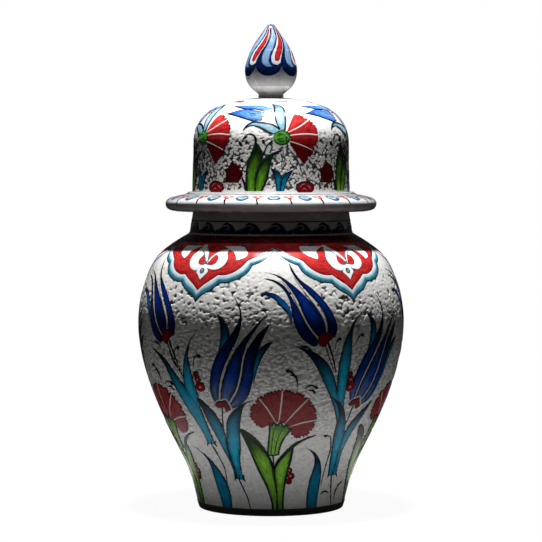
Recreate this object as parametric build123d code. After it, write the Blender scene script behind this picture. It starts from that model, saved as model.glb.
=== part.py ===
"""A lidded ceramic jar: a full, high-shouldered body on a narrow foot, and a tall domed lid.

A potter makes it in sections that are turned on the wheel and luted together with slip.
The jar is a foot ring, a body and a short neck. The lid is a wide brim, a dome, a ring
that drops into the neck and keeps the lid in the middle, and a hollow egg-shaped knob.
The lid lies loose on the lip of the neck and lifts straight off.

Every section is a turned form, so each is an outline of (radius, height) pairs swept round
the vertical axis. Sections of one vessel meet face to face on flat joints.
All sizes are in millimetres. The origin is the middle of the foot, and +Z is up.
"""

import os
from math import acos, atan2, degrees, sqrt

from build123d import *

# Foot ring
FOOT_HEIGHT = 4.5
FOOT_RADIUS = 44.8  # outside, where it stands
FOOT_FLARE = 1.4  # gain in radius from the table up to the body
FOOT_WIDTH = 7.5  # of the face it stands on
FOOT_ROUND = 1.0

# Body: each rise is the height above the station below, each radius is the outside
BODY_WALL = 5.5
BASE_THICKNESS = 7.0
FLOOR_ROUND = 9.0  # of the inside corner, where the floor turns up into the wall
MOUTH_ROUND = 10.0  # length of wall over which the inside turns up into the neck
BODY_INSIDE_POINTS = 9  # that the inside curve is drawn through
FOOT_SLOPE = 0.25  # gain in radius per height, where the body leaves the foot
CALF_RISE = 16.4
CALF_RADIUS = 50.6
THIGH_RISE = 26.4
THIGH_RADIUS = 62.8
FLANK_RISE = 29.8
FLANK_RADIUS = 75.4
BELLY_RISE = 30.9
BELLY_RADIUS = 82.4
SHOULDER_RISE = 24.0
SHOULDER_RADIUS = 81.0
CREST_RISE = 15.0
CREST_RADIUS = 76.1
BREAK_RISE = 9.9  # where the shoulder turns over into the slope under the neck
BREAK_RADIUS = 70.2
SLOPE_RISE = 7.1
SLOPE_RADIUS = 61.7
NECK_ROOT_RISE = 6.0
NECK_ROOT_SLOPE = -1.75

# Neck
NECK_HEIGHT = 14.1
LIP_RADIUS = 48.8  # outside, at the top
LIP_WIDTH = 5.1  # of the flat ring that carries the lid
LIP_ROUND = 1.2
NECK_TAPER = 1.5  # gain in radius from the lip down to the root
ROOT_FLARE = 1.8  # further gain where the neck runs out into the shoulder
ROOT_HEIGHT = 2.6
ROOT_TOP_SLOPE = -0.1  # gain in radius per height, where the root meets the straight wall

# Lid: brim
BRIM_RADIUS = 65.6
BRIM_ROUND_REACH = 5.0  # how far in from the edge the rounding on top starts
BRIM_UNDER_REACH = 7.5  # and how far in the rounding below starts
BRIM_EDGE_RISE = 4.9  # from the seat up to the widest place
BRIM_TOP_RISE = 9.0  # from the seat up to where the rounding ends on top
BRIM_HEIGHT = 12.0  # from the seat up to the dome
LEDGE_WIDTH = 2.9  # of the low step that the dome stands on
LEDGE_DROP = 0.9
LEDGE_ROUND = 0.5
BRIM_THROAT_HEIGHT = 5.0  # of the straight wall round the opening

# Lid: dome
DOME_RADIUS = 49.1  # outside, on the brim
DOME_TAPER = 0.7  # loss in radius up to the shoulder
DOME_HEIGHT = 58.7  # from the brim up to the crown
DOME_WALL = 5.0
DOME_SHOULDER_ROUND = 24.0
CROWN_ROUND = 97.0

# Lid: locating ring
RING_CLEARANCE = 1.2  # to the wall of the neck, all round
RING_WALL = 4.0
RING_DEPTH = 9.0
RING_ROUND = 1.0

# Lid: knob
STEM_RADIUS = 7.8
STEM_HEIGHT = 1.9
SEAT_MARGIN = 0.9  # the flat on the crown is this much wider than the stem
TENON_RADIUS = 4.5
TENON_LENGTH = 4.4
TENON_CLEARANCE = 0.15  # filled with slip
VENT_RADIUS = 1.6
KNOB_WALL = 6.0
CHAMBER_FIRST_SHARE = 0.22  # of the knob's outline, at the lowest inside point
CHAMBER_LAST_SHARE = 0.8
CHAMBER_POINTS = 5
KNOB_BOWL_RISE = 5.0
KNOB_BOWL_RADIUS = 13.2
KNOB_GIRTH_RISE = 9.8
KNOB_RADIUS = 16.3
KNOB_SHOULDER_RISE = 10.9
KNOB_SHOULDER_RADIUS = 13.4
KNOB_NECK_RISE = 11.0
KNOB_NECK_RADIUS = 7.8
KNOB_POINT_RISE = 5.3
KNOB_POINT_RADIUS = 4.4
KNOB_TIP_RISE = 1.7
KNOB_FIRST_SLOPE = 0.9  # height per gain in radius, where the knob leaves its stem

# Heights that follow
calf_z = FOOT_HEIGHT + CALF_RISE
thigh_z = calf_z + THIGH_RISE
flank_z = thigh_z + FLANK_RISE
belly_z = flank_z + BELLY_RISE
shoulder_z = belly_z + SHOULDER_RISE
crest_z = shoulder_z + CREST_RISE
break_z = crest_z + BREAK_RISE
slope_z = break_z + SLOPE_RISE
neck_z = slope_z + NECK_ROOT_RISE
seat_z = neck_z + NECK_HEIGHT
dome_z = seat_z + BRIM_HEIGHT
crown_z = dome_z + DOME_HEIGHT

# Radii that follow
foot_top_radius = FOOT_RADIUS + FOOT_FLARE
foot_bore = FOOT_RADIUS - FOOT_WIDTH
mouth_radius = LIP_RADIUS - LIP_WIDTH
neck_radius = LIP_RADIUS + NECK_TAPER
neck_root_radius = neck_radius + ROOT_FLARE
ring_radius = mouth_radius - RING_CLEARANCE
throat_radius = ring_radius - RING_WALL
dome_top_radius = DOME_RADIUS - DOME_TAPER
dome_bore = DOME_RADIUS - DOME_WALL
seat_flat_radius = STEM_RADIUS + SEAT_MARGIN


def turned(*edges):
    """The solid that a closed outline in (radius, height) sweeps round the vertical axis."""
    section = make_face(Wire(list(edges)).edges())
    return revolve(Plane.XZ * section, Axis.Z)


def inside_line(outer, wall, first_share, last_share, count):
    """Points a wall's thickness in from an outer line, evenly spaced between two shares of it."""
    points = []
    for step in range(count):
        share = first_share + (last_share - first_share) * step / (count - 1)
        place = outer @ share
        along = outer % share
        points.append((place.X - wall * along.Y, place.Y + wall * along.X))
    return points


def make_foot_ring():
    """A low ring, slightly flared, with both edges that touch the table rounded."""
    outline = Polyline(
        (foot_bore, 0),
        (FOOT_RADIUS, 0),
        (foot_top_radius, FOOT_HEIGHT),
        (foot_bore, FOOT_HEIGHT),
        close=True,
    )
    section = make_face(outline.edges())
    table_corners = section.vertices().group_by(Axis.Y)[0]
    return revolve(Plane.XZ * fillet(table_corners, FOOT_ROUND), Axis.Z)


def make_jar_body():
    """The full body: one flowing outer curve, and an inner curve a wall's thickness inside it."""
    outer = Spline(
        (foot_top_radius, FOOT_HEIGHT),
        (CALF_RADIUS, calf_z),
        (THIGH_RADIUS, thigh_z),
        (FLANK_RADIUS, flank_z),
        (BELLY_RADIUS, belly_z),
        (SHOULDER_RADIUS, shoulder_z),
        (CREST_RADIUS, crest_z),
        (BREAK_RADIUS, break_z),
        (SLOPE_RADIUS, slope_z),
        (neck_root_radius, neck_z),
        tangents=[(FOOT_SLOPE, 1), (NECK_ROOT_SLOPE, 1)],
    )
    floor_z = FOOT_HEIGHT + BASE_THICKNESS
    floor_radius = foot_top_radius - BODY_WALL - FLOOR_ROUND
    first_share = (BASE_THICKNESS + FLOOR_ROUND) / outer.length
    last_share = 1 - MOUTH_ROUND / outer.length
    inset = inside_line(outer, BODY_WALL, first_share, last_share, BODY_INSIDE_POINTS)
    inner = Spline(*inset, (mouth_radius, neck_z))
    corner = Spline((floor_radius, floor_z), inner @ 0, tangents=[(1, 0), inner % 0])
    return turned(
        Line((0, FOOT_HEIGHT), (foot_top_radius, FOOT_HEIGHT)),
        outer,
        Line((neck_root_radius, neck_z), (mouth_radius, neck_z)),
        inner,
        corner,
        Line((floor_radius, floor_z), (0, floor_z)),
        Line((0, floor_z), (0, FOOT_HEIGHT)),
    )


def make_neck_collar():
    """The neck: it runs out into the shoulder below, and ends above in a flat lip for the lid."""
    root = Spline(
        (neck_root_radius, neck_z),
        (neck_radius, neck_z + ROOT_HEIGHT),
        tangents=[(NECK_ROOT_SLOPE, 1), (ROOT_TOP_SLOPE, 1)],
    )
    lip_start = (LIP_RADIUS, seat_z - LIP_ROUND)
    lip_end = (LIP_RADIUS - LIP_ROUND, seat_z)
    lip_middle = (LIP_RADIUS - LIP_ROUND * (1 - sqrt(0.5)), seat_z - LIP_ROUND * (1 - sqrt(0.5)))
    return turned(
        root,
        Line((neck_radius, neck_z + ROOT_HEIGHT), lip_start),
        ThreePointArc(lip_start, lip_middle, lip_end),
        Line(lip_end, (mouth_radius, seat_z)),
        Line((mouth_radius, seat_z), (mouth_radius, neck_z)),
        Line((mouth_radius, neck_z), (neck_root_radius, neck_z)),
    )


def make_lid_brim():
    """The brim: flat below where it rests on the lip, a round edge, and a gentle cone on top.

    The cone ends in a low ledge, on which the dome stands.
    """
    round_radius = BRIM_RADIUS - BRIM_ROUND_REACH
    under_radius = BRIM_RADIUS - BRIM_UNDER_REACH
    ledge_radius = DOME_RADIUS + LEDGE_WIDTH
    ledge_foot_z = dome_z - LEDGE_DROP
    top_slope = (ledge_foot_z - seat_z - BRIM_TOP_RISE) / (round_radius - ledge_radius)
    edge = Spline(
        (under_radius, seat_z),
        (BRIM_RADIUS, seat_z + BRIM_EDGE_RISE),
        (round_radius, seat_z + BRIM_TOP_RISE),
        tangents=[(1, 0), (0, 1), (-1, top_slope)],
    )
    return turned(
        Line((throat_radius, seat_z), (under_radius, seat_z)),
        edge,
        Line((round_radius, seat_z + BRIM_TOP_RISE), (ledge_radius, ledge_foot_z)),
        Line((ledge_radius, ledge_foot_z), (ledge_radius - LEDGE_ROUND, dome_z)),
        Line((ledge_radius - LEDGE_ROUND, dome_z), (dome_bore, dome_z)),
        Line((dome_bore, dome_z), (throat_radius, seat_z + BRIM_THROAT_HEIGHT)),
        Line((throat_radius, seat_z + BRIM_THROAT_HEIGHT), (throat_radius, seat_z)),
    )


def make_lid_dome():
    """The dome: a nearly straight side, a round shoulder and a shallow crown, all one thickness.

    The crown ends in a small flat for the knob's stem, with a hole through it for the tenon.
    Returns the dome and the height of that flat.
    """
    shoulder_x = dome_top_radius - DOME_SHOULDER_ROUND
    crown_centre_z = crown_z - CROWN_ROUND
    centre_rise = sqrt((CROWN_ROUND - DOME_SHOULDER_ROUND) ** 2 - shoulder_x**2)
    shoulder_centre_z = crown_centre_z + centre_rise
    turn_over = degrees(atan2(centre_rise, shoulder_x))

    def skin(depth):
        """Side, shoulder and crown at a depth under the outer face, and the height they end at."""
        crown = CROWN_ROUND - depth
        flat_turn = degrees(acos(seat_flat_radius / crown))
        side = Line((DOME_RADIUS - depth, dome_z), (dome_top_radius - depth, shoulder_centre_z))
        shoulder = CenterArc((shoulder_x, shoulder_centre_z), DOME_SHOULDER_ROUND - depth, 0, turn_over)
        top = CenterArc((0, crown_centre_z), crown, turn_over, flat_turn - turn_over)
        return [side, shoulder, top], (top @ 1).Y

    outer, flat_z = skin(0)
    inner, ceiling_z = skin(DOME_WALL)
    hole = TENON_RADIUS + TENON_CLEARANCE
    dome = turned(
        *outer,
        Line((seat_flat_radius, flat_z), (hole, flat_z)),
        Line((hole, flat_z), (hole, ceiling_z)),
        Line((hole, ceiling_z), (seat_flat_radius, ceiling_z)),
        *inner,
        Line((dome_bore, dome_z), (DOME_RADIUS, dome_z)),
    )
    return dome, flat_z


def make_lid_locating_ring():
    """The ring under the brim that drops into the neck, rounded below to find its way in."""
    outline = Polyline(
        (throat_radius, seat_z - RING_DEPTH),
        (ring_radius, seat_z - RING_DEPTH),
        (ring_radius, seat_z),
        (throat_radius, seat_z),
        close=True,
    )
    section = make_face(outline.edges())
    lower_corners = section.vertices().group_by(Axis.Y)[0]
    return revolve(Plane.XZ * fillet(lower_corners, RING_ROUND), Axis.Z)


def make_knob(flat_z):
    """The egg-shaped knob on its short stem, hollow, with a vent down through its tenon."""
    bowl_z = flat_z + STEM_HEIGHT
    stations = [(STEM_RADIUS, bowl_z)]
    height = bowl_z
    for rise, radius in (
        (KNOB_BOWL_RISE, KNOB_BOWL_RADIUS),
        (KNOB_GIRTH_RISE, KNOB_RADIUS),
        (KNOB_SHOULDER_RISE, KNOB_SHOULDER_RADIUS),
        (KNOB_NECK_RISE, KNOB_NECK_RADIUS),
        (KNOB_POINT_RISE, KNOB_POINT_RADIUS),
        (KNOB_TIP_RISE, 0),
    ):
        height += rise
        stations.append((radius, height))
    outer = Spline(*stations, tangents=[(1, KNOB_FIRST_SLOPE), (-1, 0)])
    chamber_points = inside_line(
        outer, KNOB_WALL, CHAMBER_FIRST_SHARE, CHAMBER_LAST_SHARE, CHAMBER_POINTS
    )
    chamber_floor = (VENT_RADIUS, bowl_z + KNOB_WALL)
    chamber_top = (0, height - KNOB_WALL)
    chamber = Spline(chamber_floor, *chamber_points, chamber_top)
    tenon_z = flat_z - TENON_LENGTH
    return turned(
        Line((VENT_RADIUS, tenon_z), (TENON_RADIUS, tenon_z)),
        Line((TENON_RADIUS, tenon_z), (TENON_RADIUS, flat_z)),
        Line((TENON_RADIUS, flat_z), (STEM_RADIUS, flat_z)),
        Line((STEM_RADIUS, flat_z), (STEM_RADIUS, bowl_z)),
        outer,
        Line((0, height), chamber_top),
        chamber,
        Line(chamber_floor, (VENT_RADIUS, tenon_z)),
    )


lid_dome, knob_seat_z = make_lid_dome()
parts = {
    "foot_ring": make_foot_ring(),
    "jar_body": make_jar_body(),
    "neck_collar": make_neck_collar(),
    "lid_brim": make_lid_brim(),
    "lid_dome": lid_dome,
    "lid_locating_ring": make_lid_locating_ring(),
    "finial": make_knob(knob_seat_z),
}

os.makedirs("parts", exist_ok=True)
for node, solid in parts.items():
    solid.label = node
    export_step(solid, f"parts/{node}.step")
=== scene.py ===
"""Looks of a lidded ceramic jar with a hand painted garden of tulips and carnations.

The jar is a white glazed body whose ground is hammered into small pebbles. Flowers and
leaves in raised enamel grow from its foot in five units, and five red pointed cartouches
hang from the neck. The lid carries smaller flowers on its dome, a ring of little florets
on its brim, and a knob with six swirling lobes.

Every painted shape is drawn on the unrolled wall, as (across, along) in millimetres:
across runs round the wall from the front, along runs up the wall from the table or from
the foot of the lid's dome. Meshes are worked out with numpy and are in metres.
"""

from __future__ import annotations

import logging
import math
from dataclasses import dataclass, field
from enum import Enum
from typing import Iterable, Sequence

import bpy
import numpy as np
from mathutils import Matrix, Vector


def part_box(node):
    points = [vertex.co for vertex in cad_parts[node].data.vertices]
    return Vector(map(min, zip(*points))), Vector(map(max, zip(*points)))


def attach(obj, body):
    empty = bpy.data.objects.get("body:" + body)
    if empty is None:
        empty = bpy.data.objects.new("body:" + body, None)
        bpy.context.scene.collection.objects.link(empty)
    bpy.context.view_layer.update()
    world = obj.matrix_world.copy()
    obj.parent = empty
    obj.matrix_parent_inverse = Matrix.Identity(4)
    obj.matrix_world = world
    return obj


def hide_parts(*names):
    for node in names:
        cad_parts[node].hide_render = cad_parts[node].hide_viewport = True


LOG = logging.getLogger("lidded_jar")
MM = 0.001
UNITS = 5  # the garden repeats this many times round the jar

Point = tuple[float, float]
Line = tuple[Point, ...]
Edges = tuple[Line, Line]
Color = tuple[float, float, float]


# ---------------------------------------------------------------- lines and walls


def fair_run(points: np.ndarray, parts: int = 24) -> np.ndarray:
    """A smooth curve through points: cubic pieces whose slopes at each point are the
    neighbouring chords' slopes, each weighted by the length of the other chord.

    Args:
        points: (N, 2) points, no two neighbours the same.
        parts: samples for each piece.

    Returns:
        (M, 2) samples from the first point to the last.
    """
    if len(points) == 2:
        share = np.linspace(0, 1, parts + 1)[:, None]
        return points[0] + (points[1] - points[0]) * share
    gap = np.linalg.norm(np.diff(points, axis=0), axis=1)[:, None]
    chord = np.diff(points, axis=0) / gap
    slope = np.empty_like(points)
    slope[1:-1] = (chord[:-1] * gap[1:] + chord[1:] * gap[:-1]) / (gap[1:] + gap[:-1])
    slope[0] = 1.5 * chord[0] - 0.5 * slope[1]
    slope[-1] = 1.5 * chord[-1] - 0.5 * slope[-2]
    t = (np.arange(parts) / parts)[None, :, None]
    p0, p1 = points[:-1, None], points[1:, None]
    m0, m1 = (slope[:-1] * gap)[:, None], (slope[1:] * gap)[:, None]
    curve = (
        p0 * (2 * t**3 - 3 * t**2 + 1)
        + m0 * (t**3 - 2 * t**2 + t)
        + p1 * (3 * t**2 - 2 * t**3)
        + m1 * (t**3 - t**2)
    )
    return np.vstack([curve.reshape(-1, 2), points[-1:]])


def fair_runs(points: Sequence[Point]) -> list[np.ndarray]:
    """Smooth runs of a line, which breaks into a sharp corner where a point is given twice."""
    line = np.asarray(points, float)
    breaks = np.flatnonzero(np.all(np.diff(line, axis=0) == 0, axis=1)) + 1
    return [fair_run(run) for run in np.split(line, breaks) if len(run) > 1]


def length_of(line: np.ndarray) -> np.ndarray:
    """Distance along a line up to each of its points, starting at 0."""
    return np.concatenate([[0], np.cumsum(np.linalg.norm(np.diff(line, axis=0), axis=1))])


def spaced(line: np.ndarray, count: int) -> np.ndarray:
    """The line resampled to evenly spaced points."""
    along = length_of(line)
    want = np.linspace(0, along[-1], count)
    return np.stack([np.interp(want, along, line[:, k]) for k in (0, 1)], axis=1)


def matched(a: Sequence[Point], b: Sequence[Point], step: float) -> tuple[np.ndarray, np.ndarray]:
    """Two drawn lines resampled so that their points pair up, corner with corner.

    Args:
        a: one edge of a painted shape.
        b: its other edge, drawn in the same direction.
        step: the largest spacing, in millimetres.

    Returns:
        The two lines, each (N, 2).
    """
    runs_a, runs_b = fair_runs(a), fair_runs(b)
    if len(runs_a) != len(runs_b):
        runs_a, runs_b = [np.vstack(runs_a)], [np.vstack(runs_b)]
    out_a, out_b = [], []
    for run_a, run_b in zip(runs_a, runs_b):
        longest = max(length_of(run_a)[-1], length_of(run_b)[-1])
        count = max(3, math.ceil(longest / step) + 1)
        skip = 1 if out_a else 0
        out_a.append(spaced(run_a, count)[skip:])
        out_b.append(spaced(run_b, count)[skip:])
    return np.vstack(out_a), np.vstack(out_b)


class Profile:
    """The outline of a turned wall, as smooth functions of the distance along it.

    Args:
        points: (N, 2) radius and height in millimetres, in order along the wall.
        start: distance that the first point counts as.
    """

    def __init__(self, points: np.ndarray, start: float = 0.0) -> None:
        """Samples the smooth curve, and the direction that points out of the wall there."""
        dense = fair_run(points, 40)
        self.s = start + length_of(dense)
        self.r, self.z = dense.T
        slope = np.gradient(dense, self.s, axis=0)
        slope /= np.linalg.norm(slope, axis=1)[:, None]
        self.out_r, self.out_z = slope[:, 1], -slope[:, 0]

    def radius(self, s: np.ndarray) -> np.ndarray:
        """Radius at a distance along the wall."""
        return np.interp(s, self.s, self.r)

    def radius_at(self, s: float) -> float:
        """Radius at one distance along the wall."""
        return float(np.interp(s, self.s, self.r))

    def point(self, s: np.ndarray, height: np.ndarray) -> tuple[np.ndarray, np.ndarray]:
        """Radius and height of a place that stands `height` proud of the wall at `s`."""
        r = np.interp(s, self.s, self.r) + height * np.interp(s, self.s, self.out_r)
        z = np.interp(s, self.s, self.z) + height * np.interp(s, self.s, self.out_z)
        return r, z

    def along(self, z: float) -> float:
        """Distance along the wall at which it reaches a height, for a wall that only rises."""
        return float(np.interp(z, self.z, self.s))


class Side(Enum):
    """Which face of a hollow turned section is wanted."""

    OUTER = 1.0
    INNER = -1.0


def wall_points(
    node: bpy.types.Object,
    side: Side,
    centre: Point,
    flattest: float = 0.9985,
    beyond: float = 0.0,
) -> np.ndarray:
    """The rings of corners that a turned CAD solid's wall has, as one outline.

    A face belongs to the side if its normal points away from the centre (outer) or towards
    it (inner). Its corners, each as (radius, height), are sorted by their bearing from the
    centre, from below to above.

    Args:
        node: the CAD node.
        side: outer or inner wall.
        centre: (radius, height) of a place inside the hollow, in millimetres.
        flattest: faces whose normal is more upright than this are flats, and are left out.
        beyond: corners nearer to the axis than this, in millimetres, are left out.

    Returns:
        (N, 2) radius and height in millimetres.
    """
    mesh = node.data
    co = np.empty(len(mesh.vertices) * 3)
    mesh.vertices.foreach_get("co", co)
    co = co.reshape(-1, 3) / MM
    corner = np.empty(len(mesh.loops), int)
    mesh.loops.foreach_get("vertex_index", corner)
    corner = corner.reshape(-1, 3)
    face = co[corner]
    normal = np.cross(face[:, 1] - face[:, 0], face[:, 2] - face[:, 0])
    size = np.linalg.norm(normal, axis=1)
    kept = size > 1e-9
    face, normal, corner = face[kept], normal[kept] / size[kept][:, None], corner[kept]
    middle = face.mean(axis=1)
    reach = np.hypot(middle[:, 0], middle[:, 1])
    normal_r = (normal[:, 0] * middle[:, 0] + normal[:, 1] * middle[:, 1]) / reach
    facing = normal_r * (reach - centre[0]) + normal[:, 2] * (middle[:, 2] - centre[1])
    wanted = (side.value * facing > 0) & (np.abs(normal[:, 2]) < flattest)
    used = co[np.unique(corner[wanted])]
    ring = np.round(np.stack([np.hypot(used[:, 0], used[:, 1]), used[:, 2]], axis=1), 3)
    ring = np.unique(ring, axis=0)
    ring = ring[ring[:, 0] > beyond]
    bearing = np.arctan2(ring[:, 1] - centre[1], ring[:, 0] - centre[0])
    ring = ring[np.argsort(bearing)]
    apart = np.concatenate([[True], np.linalg.norm(np.diff(ring, axis=0), axis=1) > 0.05])
    return ring[apart]


# ---------------------------------------------------------------- meshes


def build_mesh(
    name: str,
    verts: np.ndarray,
    faces: Iterable[np.ndarray],
    values: dict[str, np.ndarray] | None = None,
    crease: float = 40.0,
) -> bpy.types.Object:
    """Puts whole arrays into a new mesh object at the origin.

    Args:
        name: the piece's name.
        verts: (N, 3) in metres.
        faces: arrays of corner indices, each (M, corners).
        values: one number for each vertex, by attribute name.
        crease: edges sharper than this, in degrees, stay crisp.

    Returns:
        The object, linked into the scene.
    """
    faces = [f for f in faces if len(f)]
    corners = np.concatenate([f.ravel() for f in faces]).astype(np.int32)
    totals = np.concatenate([np.full(len(f), f.shape[1]) for f in faces])
    starts = np.concatenate([[0], np.cumsum(totals)[:-1]]).astype(np.int32)
    mesh = bpy.data.meshes.new(name)
    mesh.vertices.add(len(verts))
    mesh.vertices.foreach_set("co", verts.astype(np.float32).ravel())
    mesh.loops.add(len(corners))
    mesh.loops.foreach_set("vertex_index", corners)
    mesh.polygons.add(len(starts))
    mesh.polygons.foreach_set("loop_start", starts)
    mesh.update(calc_edges=True)
    mesh.validate()
    for key, numbers in (values or {}).items():
        layer = mesh.attributes.new(key, "FLOAT", "POINT")
        layer.data.foreach_set("value", numbers.astype(np.float32).ravel())
    mesh.polygons.foreach_set("use_smooth", np.ones(len(mesh.polygons), bool))
    mesh.set_sharp_from_angle(angle=math.radians(crease))
    piece = bpy.data.objects.new(name, mesh)
    bpy.context.scene.collection.objects.link(piece)
    return piece


def tube_faces(rows: int, columns: int, closed: bool) -> np.ndarray:
    """Quads of a grid of vertices numbered ring by ring, outward if the rings climb and run
    anticlockwise seen from above. Each ring closes; if closed, the last joins the first."""
    i = np.arange(rows if closed else rows - 1)[:, None]
    j = np.arange(columns)[None, :]
    i2, j2 = (i + 1) % rows, (j + 1) % columns
    quads = [i * columns + j, i * columns + j2, i2 * columns + j2, i2 * columns + j]
    return np.stack([q.ravel() for q in np.broadcast_arrays(*quads)], axis=1)


# ---------------------------------------------------------------- hammered ground

FAR = 9.0  # farther than any cell's point can be, in cells
CELL_PRIMES = (73856093, 19349663, 83492791)  # these numbers only stir a cell's three counts
SEED_PRIME = 2654435761
MIXERS = ((15, 2246822519), (13, 3266489917))
WORD, PART = 0xFFFFFFFF, 1023  # 32 bits, and the 10 of them that make one coordinate
SWAY = 0.42  # how far slow waves push the cells about, in millimetres
RIPPLE_SQUEEZE = (0.95, 0.95, 1.75)  # a ripple's cell against a pebble's
RIPPLE_FALL = (0.2, 0.72)  # distances from a ripple's middle over which it falls away
RIPPLE_DEPTHS = (0.12, 0.7)  # among the pebbles, and where only ripples are left


def cell_distances(points: np.ndarray, seed: int) -> tuple[np.ndarray, np.ndarray, np.ndarray]:
    """Cellular noise: space is cut in unit cubes, each holds one point at a hashed place,
    and the distances to the nearest and second nearest of them are found.

    Args:
        points: (N, 3) places, in cell widths.
        seed: picks the pattern.

    Returns:
        Nearest distance, second distance, and a number from 0 to 1 of the nearest cell.
    """
    base = np.floor(points).astype(np.int64)
    first = np.full(len(points), FAR)
    second = np.full(len(points), FAR)
    tag = np.zeros(len(points))
    for offset in np.ndindex(3, 3, 3):
        cell = base + np.asarray(offset) - 1
        key = np.bitwise_xor.reduce(cell * CELL_PRIMES, axis=1)
        key = (key ^ (seed * SEED_PRIME)) & WORD
        for shift, factor in MIXERS:
            key = ((key ^ (key >> shift)) * factor) & WORD
        key = key ^ (key >> 16)
        spot = np.stack([(key >> shift) & PART for shift in (0, 10, 20)], axis=1) / PART
        away = np.linalg.norm(cell + spot - points, axis=1)
        nearer = away < first
        second = np.where(nearer, first, np.minimum(second, away))
        tag = np.where(nearer, spot[:, 0], tag)
        first = np.where(nearer, away, first)
    return first, second, tag


def smoothstep(low: float, high: float, value: np.ndarray) -> np.ndarray:
    """0 below low, 1 above high, and an eased rise between them."""
    share = np.clip((value - low) / (high - low), 0, 1)
    return share * share * (3 - 2 * share)


@dataclass(frozen=True)
class Hammering:
    """The hammered ground: low pebbles that touch, with pits where three of them meet, and
    lower down a finer field of flat ripples.

    Attributes:
        cell: width of a pebble, in millimetres.
        squat: how much flatter than wide the pebbles are.
        depth: of the pits, in millimetres.
        pits: distances from a pebble's middle, in cells, over which a pit falls away.
        seams: depth of the seam between two pebbles, as a share of the pits' depth.
        seam_width: of the seam, in cells.
        rounding: how domed a pebble is, as a share of the pits' depth.
        painted_shade: how much painted shade, a darkening of the colour where shade falls, goes in the
            pits and seams.
        reach: (from, full, fades from, gone) distances along the wall that are hammered.
        ripples: distances along the wall below which only ripples are left, and above which
            there are none.
        ripple_shade: how much painted shade goes between the ripples.
        seed: picks the pattern.
    """

    cell: float
    squat: float
    depth: float
    pits: Point
    seams: float
    seam_width: float
    rounding: float
    painted_shade: float
    reach: tuple[float, float, float, float]
    ripples: Point
    ripple_shade: float
    seed: int

    def relief(self, place: np.ndarray, s: np.ndarray) -> tuple[np.ndarray, np.ndarray]:
        """Depth below the pebbles' tops, and how much painted shade a place holds.

        The places are first pushed about by slow sine waves, so that the cells aren't
        regular. A pit is where even the nearest middle is far off. A seam is a bell curve
        of the gap between the two nearest distances.

        Args:
            place: (N, 3) in millimetres.
            s: (N,) distance along the wall.

        Returns:
            Heights (zero or below) and shares of painted shade, each (N,).
        """
        wave = np.sin(place[:, [1, 2, 0]] / 5.3 + 1.7) + 0.6 * np.sin(place[:, [2, 0, 1]] / 2.9)
        cells = (place + SWAY * wave) / self.cell * np.array([1, 1, self.squat])
        first, second, tag = cell_distances(cells, self.seed)
        pit = smoothstep(*self.pits, first)
        seam = np.exp(-(((second - first) / self.seam_width) ** 2))
        seam *= self.seams * (0.4 + 0.6 * smoothstep(0.3, 0.7, tag)) * (1 - pit)
        ripple = cell_distances(cells * np.array(RIPPLE_SQUEEZE), self.seed + 7)[0]
        fine = smoothstep(*RIPPLE_FALL, ripple)
        small = 1 - smoothstep(*self.ripples, s)
        start, full, fades, gone = self.reach
        strength = smoothstep(start, full, s) * (1 - smoothstep(fades, gone, s))
        coarse = (pit + seam + self.rounding * first**2) * (1 - small**2)
        fine_depth = RIPPLE_DEPTHS[0] * strength + RIPPLE_DEPTHS[1] * small
        height = -self.depth * (strength * coarse + fine * fine_depth)
        between = small * (0.55 + 0.45 * smoothstep(0.3 * self.ripples[0], self.ripples[0], s))
        # Painted shade: the colour is darkened in the pits, the seams and between the ripples, where
        # shade falls.
        dark = np.maximum(self.painted_shade * (pit + seam) * (1 - small**2), self.ripple_shade * fine * between)
        return height * smoothstep(start, full, s), strength * dark


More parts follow.
